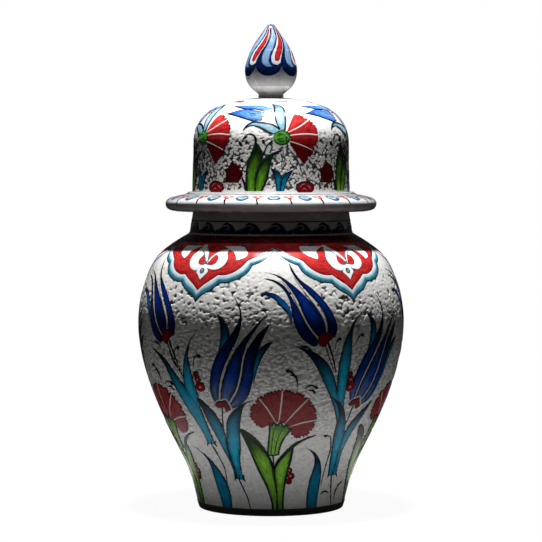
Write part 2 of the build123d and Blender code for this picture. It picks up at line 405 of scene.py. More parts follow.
@dataclass(frozen=True)
class TurnedShell:
    """A closed turned piece: an outline swept round the axis, with relief on its outside.

    Attributes:
        outer: (N, 3) rows of the outside, as (radius, height, distance along the wall).
        back: (M, 2) rest of the outline, from the last outside row round to the first.
        columns: points round each ring.
        hammering: the relief, or None for a smooth wall.
    """

    outer: np.ndarray
    back: np.ndarray
    columns: int
    hammering: Hammering | None = None

    def build(self, name: str) -> bpy.types.Object:
        """Sweeps the outline: x = r sin(a), y = -r cos(a), with the relief taken off r.

        Where the outline starts or ends on the axis, a fan of triangles closes it there.
        """
        turn = np.linspace(0, 2 * math.pi, self.columns, endpoint=False)
        outline = np.vstack([self.outer[:, :2], self.back])
        on_axis = outline[:, 0] < 1e-6
        caps = np.flatnonzero(on_axis)
        rings = np.flatnonzero(~on_axis)
        r = outline[rings, 0][:, None]
        z = np.broadcast_to(outline[rings, 1][:, None], (len(rings), self.columns))
        place = np.stack([r * np.sin(turn), -r * np.cos(turn), z], axis=2)
        # Painted shade from the relief, kept with each point for the ground's colour to darken by.
        crevice_shade = np.zeros(place.shape[:2])
        if self.hammering is not None:
            face = self.outer[self.outer[:, 0] > 1e-6]
            rows = len(face)
            flat = place[:rows].reshape(-1, 3)
            along = np.repeat(face[:, 2], self.columns)
            height, pit = self.hammering.relief(flat, along)
            slope = np.gradient(face[:, :2], axis=0)
            slope /= np.linalg.norm(slope, axis=1)[:, None]
            out = np.stack(
                [
                    slope[:, 1][:, None] * np.sin(turn),
                    -slope[:, 1][:, None] * np.cos(turn),
                    np.broadcast_to(-slope[:, :1], (rows, self.columns)),
                ],
                axis=2,
            )
            place[:rows] += out * height.reshape(rows, -1, 1)
            crevice_shade[:rows] = pit.reshape(rows, -1)
        verts = place.reshape(-1, 3)
        shade_values = crevice_shade.ravel()
        faces = [tube_faces(len(rings), self.columns, closed=len(caps) == 0)]
        ring = np.arange(self.columns)
        for cap in caps:
            last = cap > 0
            edge = ring + (len(rings) - 1) * self.columns * last
            hub = np.full(self.columns, len(verts))
            fan = [hub, edge, np.roll(edge, -1)] if last else [hub, np.roll(edge, -1), edge]
            faces.append(np.stack(fan, axis=1))
            verts = np.vstack([verts, [[0, 0, outline[cap, 1]]]])
            shade_values = np.append(shade_values, 0)
        return build_mesh(name, verts * MM, faces, {"crevice_shade": shade_values})


# ---------------------------------------------------------------- paint

LIP = 0.25  # how far in from its edges a slab of enamel rounds off, in millimetres
LIP_DROP = 0.05  # how much lower its edges stand than its middle
NARROWEST = 0.06  # width of the finest hairline
CELL_WIDTH = 1.6  # widest spacing of points across a slab
BROAD = 3.0  # width from which a slab has its whole crown
MOST_LIP = 0.3  # share of a narrow slab's width that each rounded edge may take
MOST_POINTS = 15  # across a slab, edges left out
TONE_STEPS = (0.377, 0.618)  # how far the tone moves on from turn to turn, and shape to shape
HAND_SHIFT = 7.3  # how far the hand's waves move on for each degree of a turn, in degrees
HAND_WAVES = (11.0, 13.0)  # millimetres for each radian of those waves, across and along


class Layer(Enum):
    """How far a coat of enamel stands above the pebbles' tops, in millimetres."""

    UNDER = 0.05
    WASH = 0.09
    OVER = 0.13
    LINE = 0.17
    TOP = 0.21


@dataclass(frozen=True)
class Blade:
    """A leaf, petal or band between two edges, both drawn from its foot to its tip.

    A corner is drawn where a point is given twice. `teeth` notches are cut in the right
    edge, each `bite` millimetres deep.
    """

    left: Line
    right: Line
    teeth: float = 0
    bite: float = 0.0

    def edges(self, step: float) -> tuple[np.ndarray, np.ndarray]:
        """Both edges, resampled in pairs. A notch is a cusp of one less a sine wave's size; a
        slow wave makes some of them shallower, and every third is deeper."""
        a, b = matched(self.left, self.right, step)
        if self.teeth:
            along = length_of(b) / length_of(b)[-1]
            slope = np.gradient(b, axis=0)
            slope /= np.linalg.norm(slope, axis=1)[:, None] + 1e-9
            inward = np.stack([slope[:, 1], -slope[:, 0]], axis=1)
            to_a = np.sign(np.sum(inward * (a - b), axis=1))[:, None]
            notch = 0.8 * (1 - np.abs(np.sin(np.pi * self.teeth * along)) ** 0.8)
            notch *= 0.72 + 0.28 * np.sin(1.7 * self.teeth * along)
            notch += 0.9 * (1 - np.abs(np.sin(np.pi * self.teeth * along / 3))) ** 3
            notch *= self.bite
            b = b + inward * to_a * notch[:, None]
        return a, b


@dataclass(frozen=True)
class Stroke:
    """A brush stroke: a spine and the widths that it takes, evenly spaced, along it."""

    spine: Line
    widths: tuple[float, ...] = (0.8,)

    def edges(self, step: float) -> tuple[np.ndarray, np.ndarray]:
        """Spine plus and minus half the width along its normal; the width is faired too."""
        line = np.vstack(fair_runs(self.spine))
        count = max(5, math.ceil(length_of(line)[-1] / step) + 1)
        line = spaced(line, count)
        slope = np.gradient(line, axis=0)
        slope /= np.linalg.norm(slope, axis=1)[:, None] + 1e-9
        across = np.stack([-slope[:, 1], slope[:, 0]], axis=1)
        share = np.linspace(0, 1, count)
        if len(self.widths) > 2:
            marks = np.linspace(0, 1, len(self.widths))
            curve = fair_run(np.stack([marks, np.asarray(self.widths)], axis=1))
            width = np.interp(share, curve[:, 0], curve[:, 1])
        else:
            width = np.interp(share, (0, 1), (self.widths[0], self.widths[-1]))
        half = np.maximum(width, NARROWEST)[:, None] / 2
        return line + across * half, line - across * half


@dataclass(frozen=True)
class Dot:
    """A round or oval dab, or a ring of that size if it has a line width."""

    centre: Point
    radius: float
    squash: float = 1.0
    lean: float = 0.0
    line: float = 0.0

    def edges(self, step: float) -> tuple[np.ndarray, np.ndarray]:
        """Upper and lower half of the oval, or the outer and inner edge of the ring."""
        turn = math.radians(self.lean)
        axes = np.array([[math.cos(turn), math.sin(turn)], [-math.sin(turn), math.cos(turn)]])
        count = max(7, math.ceil(2 * math.pi * self.radius / step))
        if self.line:
            angle = np.linspace(0, 2 * math.pi * 1.002, count + 5)
            rim = np.stack([np.cos(angle), self.squash * np.sin(angle)], axis=1)
            outer, inner = rim * self.radius, rim * (self.radius - self.line)
        else:
            angle = np.linspace(0.05, math.pi - 0.05, count // 2 + 3)
            outer = np.stack([np.cos(angle), self.squash * np.sin(angle)], axis=1) * self.radius
            inner = outer * np.array([1, -1])
        centre = np.asarray(self.centre)
        return outer @ axes + centre, inner @ axes + centre


Shape = Blade | Stroke | Dot
Blades = tuple[Blade, ...]
Strokes = tuple[Stroke, ...]
Dots = tuple[Dot, ...]
Turns = Sequence[float]
Group = tuple[Sequence[Shape], Turns]


@dataclass(frozen=True)
class Wall:
    """The outer face of a turned section, as a place to paint on.

    Attributes:
        profile: its outline.
        sink: how far the pebbles' tops lie inside that outline, in millimetres.
        root: how far below the tops the paint reaches, in millimetres.
        wander: how far the painter's hand strays from one unit to the next.
    """

    profile: Profile
    sink: float
    root: float = 0.5
    wander: float = 0.35

    def place(self, x: np.ndarray, s: np.ndarray, height: np.ndarray, turn: float) -> np.ndarray:
        """Place in space of (x, s), `height` above the pebbles' tops, turned from the front.

        The angle is x divided by the radius at s, plus the turn. For each turn, x and s are
        first pushed along slow sine waves of their own, as no two units are painted alike.

        Returns:
            (..., 3) in millimetres.
        """
        phase = math.radians(turn * HAND_SHIFT)
        stray = self.wander * math.sin(math.radians(turn / 2))
        s_hand = s + stray * np.sin(x / HAND_WAVES[0] + phase)
        x_hand = x + stray * np.sin(s / HAND_WAVES[1] + 2 * phase)
        angle = x_hand / self.profile.radius(s_hand) + math.radians(turn)
        r, z = self.profile.point(s_hand, height - self.sink)
        return np.stack([r * np.sin(angle), -r * np.cos(angle), z], axis=-1)


@dataclass
class Coat:
    """One colour of enamel on one wall: shapes are added, then built as one piece.

    Attributes:
        name: the piece's name.
        wall: what it is painted on.
        layer: how high it stands.
        step: spacing of points along the shapes, in millimetres.
        crown: how much the middle of a shape stands above its edges, in millimetres.
        one_sided: whether the edge colour lies along the shapes' second edge only; on the cartouche
            borders this darker lower edge is partly the enamel's edge colour and partly painted shade of
            the raised band.
    """

    name: str
    wall: Wall
    layer: Layer
    step: float = 1.0
    crown: float = 0.03
    one_sided: bool = False
    verts: list[np.ndarray] = field(default_factory=list)
    faces: dict[int, list[np.ndarray]] = field(default_factory=dict)
    marks: list[np.ndarray] = field(default_factory=list)
    count: int = 0

    def add(self, shapes: Sequence[Shape], turns: Turns) -> None:
        """Paints every shape once at each turn, in degrees."""
        for number, turn in enumerate(turns):
            for order, shape in enumerate(shapes):
                tone = (number * TONE_STEPS[0] + order * TONE_STEPS[1]) % 1.0
                self._slab(shape, turn, tone)

    def _slab(self, shape: Shape, turn: float, tone: float) -> None:
        """One shape as a closed slab.

        Each row runs straight from edge to edge. Its height is that of the layer, less a
        little within a quarter of a millimetre of either edge, plus a crown that is a
        parabola across. Two more points under the ground close the row, and a face at each
        end closes the slab.

        Args:
            shape: what to paint.
            turn: degrees round from the front.
            tone: number from 0 to 1 kept with the shape, for the finish to vary by.
        """
        a, b = shape.edges(self.step)
        rows = len(a)
        along = (np.arange(rows) / (rows - 1))[:, None]
        area = np.sum((a[1:, 0] - a[:-1, 0]) * (b[1:, 1] - a[1:, 1]))
        area -= np.sum((a[1:, 1] - a[:-1, 1]) * (b[1:, 0] - a[1:, 0]))
        if area > 0:
            a, b = b, a
        width = np.linalg.norm(b - a, axis=1)[:, None]
        inner = max(3, min(MOST_POINTS, math.ceil(width.max() / CELL_WIDTH) + 2))
        lip = np.minimum(LIP / np.maximum(width, 1e-6), MOST_LIP)
        share = np.linspace(0, 1, inner)[None, :] * (1 - 2 * lip) + lip
        share = np.concatenate([np.zeros((rows, 1)), share, np.ones((rows, 1))], axis=1)
        line = a[:, None] + (b - a)[:, None] * share[..., None]
        rim = np.minimum(share, 1 - share) * width
        height = self.layer.value - LIP_DROP * (1 - np.clip(rim / LIP, 0, 1)) ** 2
        height = height + self.crown * 4 * share * (1 - share) * np.clip(width / BROAD, 0, 1)
        place = self.wall.place(line[..., 0], line[..., 1], height, turn)
        ends = np.stack([b, a], axis=1)
        under = self.wall.place(ends[..., 0], ends[..., 1], np.full((rows, 2), -self.wall.root), turn)
        ring = np.concatenate([place, under], axis=1)
        columns = ring.shape[1]
        quads = tube_faces(rows, columns, closed=False)
        caps = np.stack([np.arange(columns)[::-1], np.arange(columns) + (rows - 1) * columns])
        self.faces.setdefault(4, []).append(quads + self.count)
        self.faces.setdefault(columns, []).append(caps + self.count)
        low = np.zeros((rows, 2))
        pooled = (share if area > 0 else 1 - share) * width if self.one_sided else rim
        edge = np.concatenate([pooled, low], axis=1)
        marks = [edge, np.broadcast_to(along, edge.shape), np.full(edge.shape, tone)]
        self.marks.append(np.stack([m.ravel() for m in marks]))
        self.verts.append(ring.reshape(-1, 3))
        self.count += rows * columns

    def piece(self) -> bpy.types.Object:
        """The finished piece, with its distance from the edge, its place along the stroke
        and its tone kept as attributes for the finish to read."""
        marks = np.concatenate(self.marks, axis=1)
        values = {"edge": marks[0], "along": marks[1], "tone": marks[2]}
        faces = [np.vstack(group) for group in self.faces.values()]
        return build_mesh(self.name, np.vstack(self.verts) * MM, faces, values, 50.0)


# ---------------------------------------------------------------- finishes

INK = (0.008, 0.008, 0.012)
BLACK = (0.0, 0.0, 0.0)
Fade = tuple[Color, float]
Socket = bpy.types.NodeSocket


class Tree:
    """A node tree, with short calls to place nodes and join them."""

    def __init__(self, tree: bpy.types.NodeTree) -> None:
        """Starts with the tree's first column."""
        self.tree = tree
        self.column = 0

    def node(self, kind: str, **settings: object) -> bpy.types.Node:
        """Adds a node; settings are its properties."""
        node = self.tree.nodes.new(kind)
        node.location = (self.column * 190.0, 0.0)
        self.column += 1
        for key, value in settings.items():
            setattr(node, key, value)
        return node

    def feed(self, socket: Socket, value: object) -> None:
        """Joins a socket to another, or sets it."""
        if isinstance(value, Socket):
            self.tree.links.new(value, socket)
        elif isinstance(value, tuple) and len(value) == 3 and socket.type == "RGBA":
            socket.default_value = (*value, 1.0)
        else:
            socket.default_value = value

    def math(self, operation: str, *values: object, clamp: bool = False) -> Socket:
        """A Math node of one operation."""
        node = self.node("ShaderNodeMath", operation=operation, use_clamp=clamp)
        for socket, value in zip(node.inputs, values):
            self.feed(socket, value)
        return node.outputs[0]

    def mix(self, share: object, a: object, b: object, blend: str = "MIX") -> Socket:
        """A colour Mix node."""
        node = self.node("ShaderNodeMix", data_type="RGBA", blend_type=blend)
        for socket, value in ((node.inputs[0], share), (node.inputs[6], a), (node.inputs[7], b)):
            self.feed(socket, value)
        return node.outputs[2]

    def ease(self, value: object, low: object, high: object, to: Point = (0, 1)) -> Socket:
        """A Map Range node with an eased rise between its ends."""
        node = self.node("ShaderNodeMapRange", interpolation_type="SMOOTHSTEP")
        for socket, number in zip(node.inputs, (value, low, high, *to)):
            self.feed(socket, number)
        return node.outputs[0]

    def noise(self, vector: object, scale: float, detail: float = 3.0) -> Socket:
        """A Noise texture's value."""
        node = self.node("ShaderNodeTexNoise")
        self.feed(node.inputs["Vector"], vector)
        self.feed(node.inputs["Scale"], scale)
        self.feed(node.inputs["Detail"], detail)
        return node.outputs[0]

    def rim_shade(self, color: object, share: float = 0.5) -> Socket:
        """The colour, darker where the glaze is seen edge on and turns away."""
        facing = self.node("ShaderNodeLayerWeight").outputs["Facing"]
        return self.mix(self.ease(facing, 0.62, 1.0, (0.0, share)), color, BLACK)

    def vector(self, operation: str, *values: object) -> Socket:
        """A Vector Math node of one operation."""
        node = self.node("ShaderNodeVectorMath", operation=operation)
        second = node.inputs["Scale" if operation == "SCALE" else 1]
        for socket, value in zip((node.inputs[0], second), values):
            self.feed(socket, value)
        return node.outputs["Value" if operation == "LENGTH" else "Vector"]

    def bump(self, height: Socket, strength: float, distance: float) -> Socket:
        """A Bump node's normal; the distance is in metres."""
        node = self.node("ShaderNodeBump")
        for name, value in (("Strength", strength), ("Distance", distance), ("Height", height)):
            self.feed(node.inputs[name], value)
        return node.outputs[0]

    def attribute(self, name: str) -> Socket:
        """A number kept with the piece's points."""
        return self.node("ShaderNodeAttribute", attribute_name=name).outputs["Fac"]

    def place(self) -> Socket:
        """Object coordinates."""
        return self.node("ShaderNodeTexCoord").outputs["Object"]


class Effect(Enum):
    """The node groups that several finishes share."""

    BRUSHWORK = "brushwork"
    FIRED_SKIN = "fired_skin"
    PEBBLE_SHADE = "pebble_shade"


def new_group(
    effect: Effect, takes: dict[str, str], gives: dict[str, str]
) -> tuple[Tree, dict[str, Socket], dict[str, Socket]]:
    """An empty node group with named sockets.

    Args:
        effect: which group.
        takes: socket kind by input name.
        gives: socket kind by output name.

    Returns:
        The tree, its inputs' sockets and its outputs' sockets, by name.
    """
    group = bpy.data.node_groups.new(effect.value, "ShaderNodeTree")
    for name, kind in takes.items():
        group.interface.new_socket(name, in_out="INPUT", socket_type=f"NodeSocket{kind}")
    for name, kind in gives.items():
        group.interface.new_socket(name, in_out="OUTPUT", socket_type=f"NodeSocket{kind}")
    tree = Tree(group)
    start = tree.node("NodeGroupInput")
    end = tree.node("NodeGroupOutput")
    return tree, {n: start.outputs[n] for n in takes}, {n: end.inputs[n] for n in gives}


def make_brushwork() -> None:
    """Colour of one brush stroke: enamel pools darker along its edges, is laid on thicker or
    thinner in streaks that follow it, and shades into other colours at its foot and tip. A
    thin ink line runs round it, where one is asked for."""
    colors = {name: "Color" for name in ("Body", "Edge Colour", "Foot Colour", "Tip Colour")}
    numbers = (
        "Edge Reach", "Widening", "Outline", "Foot Share", "Tip Share", "Streaks",
        "Grain Across", "Grain Along", "Edge", "Along", "Tone",
    )
    takes = colors | {name: "Float" for name in numbers} | {"Vector": "Vector"}
    tree, i, o = new_group(Effect.BRUSHWORK, takes, {"Color": "Color", "Pool": "Float"})
    ragged = tree.ease(tree.noise(i["Vector"], 420.0), 0.3, 0.7, (0.65, 1.35))
    widen = tree.math("MULTIPLY_ADD", i["Along"], i["Widening"], 1.0)
    reach = tree.math("MULTIPLY", tree.math("MULTIPLY", i["Edge Reach"], widen), ragged)
    ratio = tree.math("DIVIDE", i["Edge"], tree.math("MAXIMUM", reach, 0.01))
    pool = tree.math("EXPONENT", tree.math("MULTIPLY", tree.math("POWER", ratio, 1.6), -1.0))
    streak_place = tree.node("ShaderNodeCombineXYZ")
    tree.feed(streak_place.inputs[0], tree.math("MULTIPLY", i["Edge"], i["Grain Across"]))
    tree.feed(streak_place.inputs[1], tree.math("MULTIPLY", i["Along"], i["Grain Along"]))
    tree.feed(streak_place.inputs[2], tree.math("MULTIPLY", i["Tone"], 31.0))
    streak = tree.ease(tree.noise(streak_place.outputs[0], 1.0, 4.0), 0.32, 0.68, (-1.0, 1.0))
    body = tree.mix(tree.ease(i["Along"], 0.0, i["Foot Share"]), i["Foot Colour"], i["Body"])
    fade = tree.math("SUBTRACT", 1.0, i["Tip Share"])
    body = tree.mix(tree.ease(i["Along"], fade, 0.85), body, i["Tip Colour"])
    light = tree.math("MULTIPLY_ADD", streak, i["Streaks"], 1.0)
    tone = tree.math("MULTIPLY_ADD", tree.math("SUBTRACT", i["Tone"], 0.5), 0.22, light)
    pooled = tree.mix(pool, tree.vector("SCALE", body, tone), i["Edge Colour"])
    rim = tree.math("MULTIPLY", i["Outline"], ragged)
    past = tree.ease(i["Edge"], rim, tree.math("ADD", rim, 0.12))
    tree.feed(o["Color"], tree.mix(past, INK, pooled))
    tree.feed(o["Pool"], pool)


def make_fired_skin() -> None:
    """The skin of a fired glaze: slow waves and a fine orange peel in height, and patches
    that fired a little duller."""
    takes = {"Vector": "Vector", "Peel": "Float", "Gloss Low": "Float", "Gloss High": "Float"}
    tree, i, o = new_group(Effect.FIRED_SKIN, takes, {"Height": "Float", "Roughness": "Float"})
    waves = tree.noise(i["Vector"], 60.0, 2.0)
    peel = tree.noise(i["Vector"], 900.0, 2.0)
    height = tree.math("MULTIPLY_ADD", peel, i["Peel"], tree.math("MULTIPLY", waves, 2.0))
    tree.feed(o["Height"], height)
    patches = tree.ease(tree.noise(i["Vector"], 140.0), 0.3, 0.7)
    span = tree.math("SUBTRACT", i["Gloss High"], i["Gloss Low"])
    tree.feed(o["Roughness"], tree.math("MULTIPLY_ADD", patches, span, i["Gloss Low"]))


def make_pebble_shade() -> None:
    """Colour of the hammered ground: white pebbles that differ a little, and painted shade, a dark
    colour mixed in the crevices between them where shade falls."""
    takes = {"Vector": "Vector", "Glaze": "Color", "Wash": "Color", "Crevice": "Float"}
    tree, i, o = new_group(Effect.PEBBLE_SHADE, takes, {"Color": "Color"})
    mottle = tree.ease(tree.noise(i["Vector"], 250.0), 0.25, 0.75, (0.9, 1.03))
    cloud = tree.ease(tree.noise(i["Vector"], 22.0), 0.3, 0.7, (0.95, 1.02))
    tint = tree.vector("SCALE", i["Glaze"], tree.math("MULTIPLY", mottle, cloud))
    # Painted shade: the crevices' share mixes the glaze towards the dark colour.
    crevice_shading = tree.ease(i["Crevice"], 0.1, 0.8)
    uneven = tree.ease(tree.noise(i["Vector"], 130.0), 0.35, 0.65, (0.93, 1.0))
    share = tree.math("MULTIPLY", crevice_shading, uneven)
    tree.feed(o["Color"], tree.mix(share, tint, i["Wash"]))


EFFECT_MAKERS = {
    Effect.BRUSHWORK: make_brushwork,
    Effect.FIRED_SKIN: make_fired_skin,
    Effect.PEBBLE_SHADE: make_pebble_shade,
}


def use_effect(tree: Tree, effect: Effect, **values: object) -> bpy.types.Node:
    """Places a shared group, made on first use; values go by input name, with _ for a space."""
    if effect.value not in bpy.data.node_groups:
        EFFECT_MAKERS[effect]()
    node = tree.node("ShaderNodeGroup", node_tree=bpy.data.node_groups[effect.value])
    for name, value in values.items():
        tree.feed(node.inputs[name.replace("_", " ")], value)
    return node


def new_material(name: str) -> tuple[bpy.types.Material, Tree, bpy.types.Node]:
    """A material with a Principled shader, its tree and that shader."""
    material = bpy.data.materials.new(name)
    material.use_nodes = True
    tree = Tree(material.node_tree)
    shader = material.node_tree.nodes["Principled BSDF"]
    return material, tree, shader


def add_skin(tree: Tree, shader: bpy.types.Node, peel: float, gloss: Point, depth: float) -> None:
    """Gives a shader the fired skin's roughness and bump.

    Args:
        tree: the material's tree.
        shader: its Principled shader.
        peel: strength of the fine orange peel against the slow waves.
        gloss: roughness of the glossiest and the dullest patches.
        depth: of the bump, in metres.
    """
    skin = use_effect(
        tree, Effect.FIRED_SKIN, Vector=tree.place(), Peel=peel, Gloss_Low=gloss[0], Gloss_High=gloss[1]
    )
    tree.feed(shader.inputs["Roughness"], skin.outputs["Roughness"])
    tree.feed(shader.inputs["Normal"], tree.bump(skin.outputs["Height"], 0.5, depth))


def set_inputs(shader: bpy.types.Node, **values: float) -> None:
    """Sets a shader's plain values by input name, with _ for a space."""
    for name, value in values.items():
        shader.inputs[name.replace("_", " ")].default_value = value


@dataclass(frozen=True)
class Enamel:
    """A raised enamel colour, laid on with a brush and fired glossy.

    Attributes:
        name: the material's name.
        body: colour of the middle of a stroke.
        edge: colour where it pools at the edges.
        edge_reach: how wide the pooled edge is at the foot, in millimetres.
        streaks: how strong the brush streaks are.
        outline: width of the ink line round it, in millimetres, or below zero for none.
        widening: how much wider the pooled edge gets towards the tip, as a share.
        foot: another colour at the foot, and the share of the stroke that it fades over.
        tip: the same at the tip.
        grain: how fine the streaks are, for each millimetre across and for the whole length.
    """

    name: str
    body: Color
    edge: Color
    edge_reach: float
    streaks: float
    outline: float = -1.0
    widening: float = 0.0
    foot: Fade | None = None
    tip: Fade | None = None
    grain: Point = (1.3, 5.0)

    def make(self) -> bpy.types.Material:
        """The node material."""
        material, tree, shader = new_material(self.name)
        foot, foot_share = self.foot or (self.body, 0.1)
        tip, tip_share = self.tip or (self.body, 0.1)
        stroke = use_effect(
            tree, Effect.BRUSHWORK, Vector=tree.place(), Body=self.body, Edge_Colour=self.edge,
            Foot_Colour=foot, Tip_Colour=tip, Foot_Share=foot_share, Tip_Share=tip_share,
            Edge_Reach=self.edge_reach, Widening=self.widening, Outline=self.outline,
            Streaks=self.streaks, Grain_Across=self.grain[0], Grain_Along=self.grain[1],
            Edge=tree.attribute("edge"), Along=tree.attribute("along"), Tone=tree.attribute("tone"),
        )
        tree.feed(shader.inputs["Base Color"], stroke.outputs["Color"])
        add_skin(tree, shader, peel=0.35, gloss=(0.2, 0.34), depth=0.0002)
        set_inputs(shader, Specular_IOR_Level=0.15, Coat_Weight=0.05, Coat_Roughness=0.1, IOR=1.48)
        return material


@dataclass(frozen=True)
class WhiteGlaze:
    """The white ground, with painted shade, a dark colour, in its crevices where it is hammered.

    Attributes:
        name: the material's name.
        glaze: the white.
        painted_shade: colour of the painted shade in the crevices.
        gloss: roughness of its glossiest and its dullest patches.
        coat: weight of the clear coat.
    """

    name: str
    glaze: Color
    painted_shade: Color
    gloss: Point
    coat: float

    def make(self) -> bpy.types.Material:
        """The node material."""
        material, tree, shader = new_material(self.name)
        shade = use_effect(
            tree, Effect.PEBBLE_SHADE, Vector=tree.place(), Glaze=self.glaze, Wash=self.painted_shade,
            Crevice=tree.attribute("crevice_shade"),
        )
        tree.feed(shader.inputs["Base Color"], tree.rim_shade(shade.outputs["Color"]))
        add_skin(tree, shader, peel=0.8, gloss=self.gloss, depth=0.0003)
        set_inputs(shader, Coat_Weight=self.coat, Coat_Roughness=0.15, IOR=1.5)
        return material


@dataclass(frozen=True)
class Biscuit:
    """Bare fired clay: warm, dull and grainy, with a darker slip beyond a radius.

    Attributes:
        name: the material's name.
        clay: its colour.
        slip: colour of the slip.
        slip_from: where the slip starts, in metres from the axis.
    """

    name: str
    clay: Color
    slip: Color
    slip_from: float

    def make(self) -> bpy.types.Material:
        """The node material."""
        material, tree, shader = new_material(self.name)
        place = tree.place()
        grain = tree.ease(tree.noise(place, 700.0, 5.0), 0.25, 0.75, (0.82, 1.1))
        patch = tree.ease(tree.noise(place, 60.0), 0.3, 0.7, (0.92, 1.05))
        clay = tree.vector("SCALE", self.clay, tree.math("MULTIPLY", grain, patch))
        reach = tree.vector("LENGTH", tree.vector("MULTIPLY", place, (1.0, 1.0, 0.0)))
        ragged = tree.math("MULTIPLY_ADD", tree.noise(place, 300.0), 0.0012, self.slip_from)
        slipped = tree.ease(reach, ragged, tree.math("ADD", ragged, 0.0004))
        tree.feed(shader.inputs["Base Color"], tree.mix(slipped, clay, self.slip))
        tree.feed(shader.inputs["Roughness"], tree.ease(slipped, 0.0, 1.0, (0.85, 0.42)))
        tree.feed(shader.inputs["Normal"], tree.bump(grain, strength=0.4, distance=0.0002))
        return material


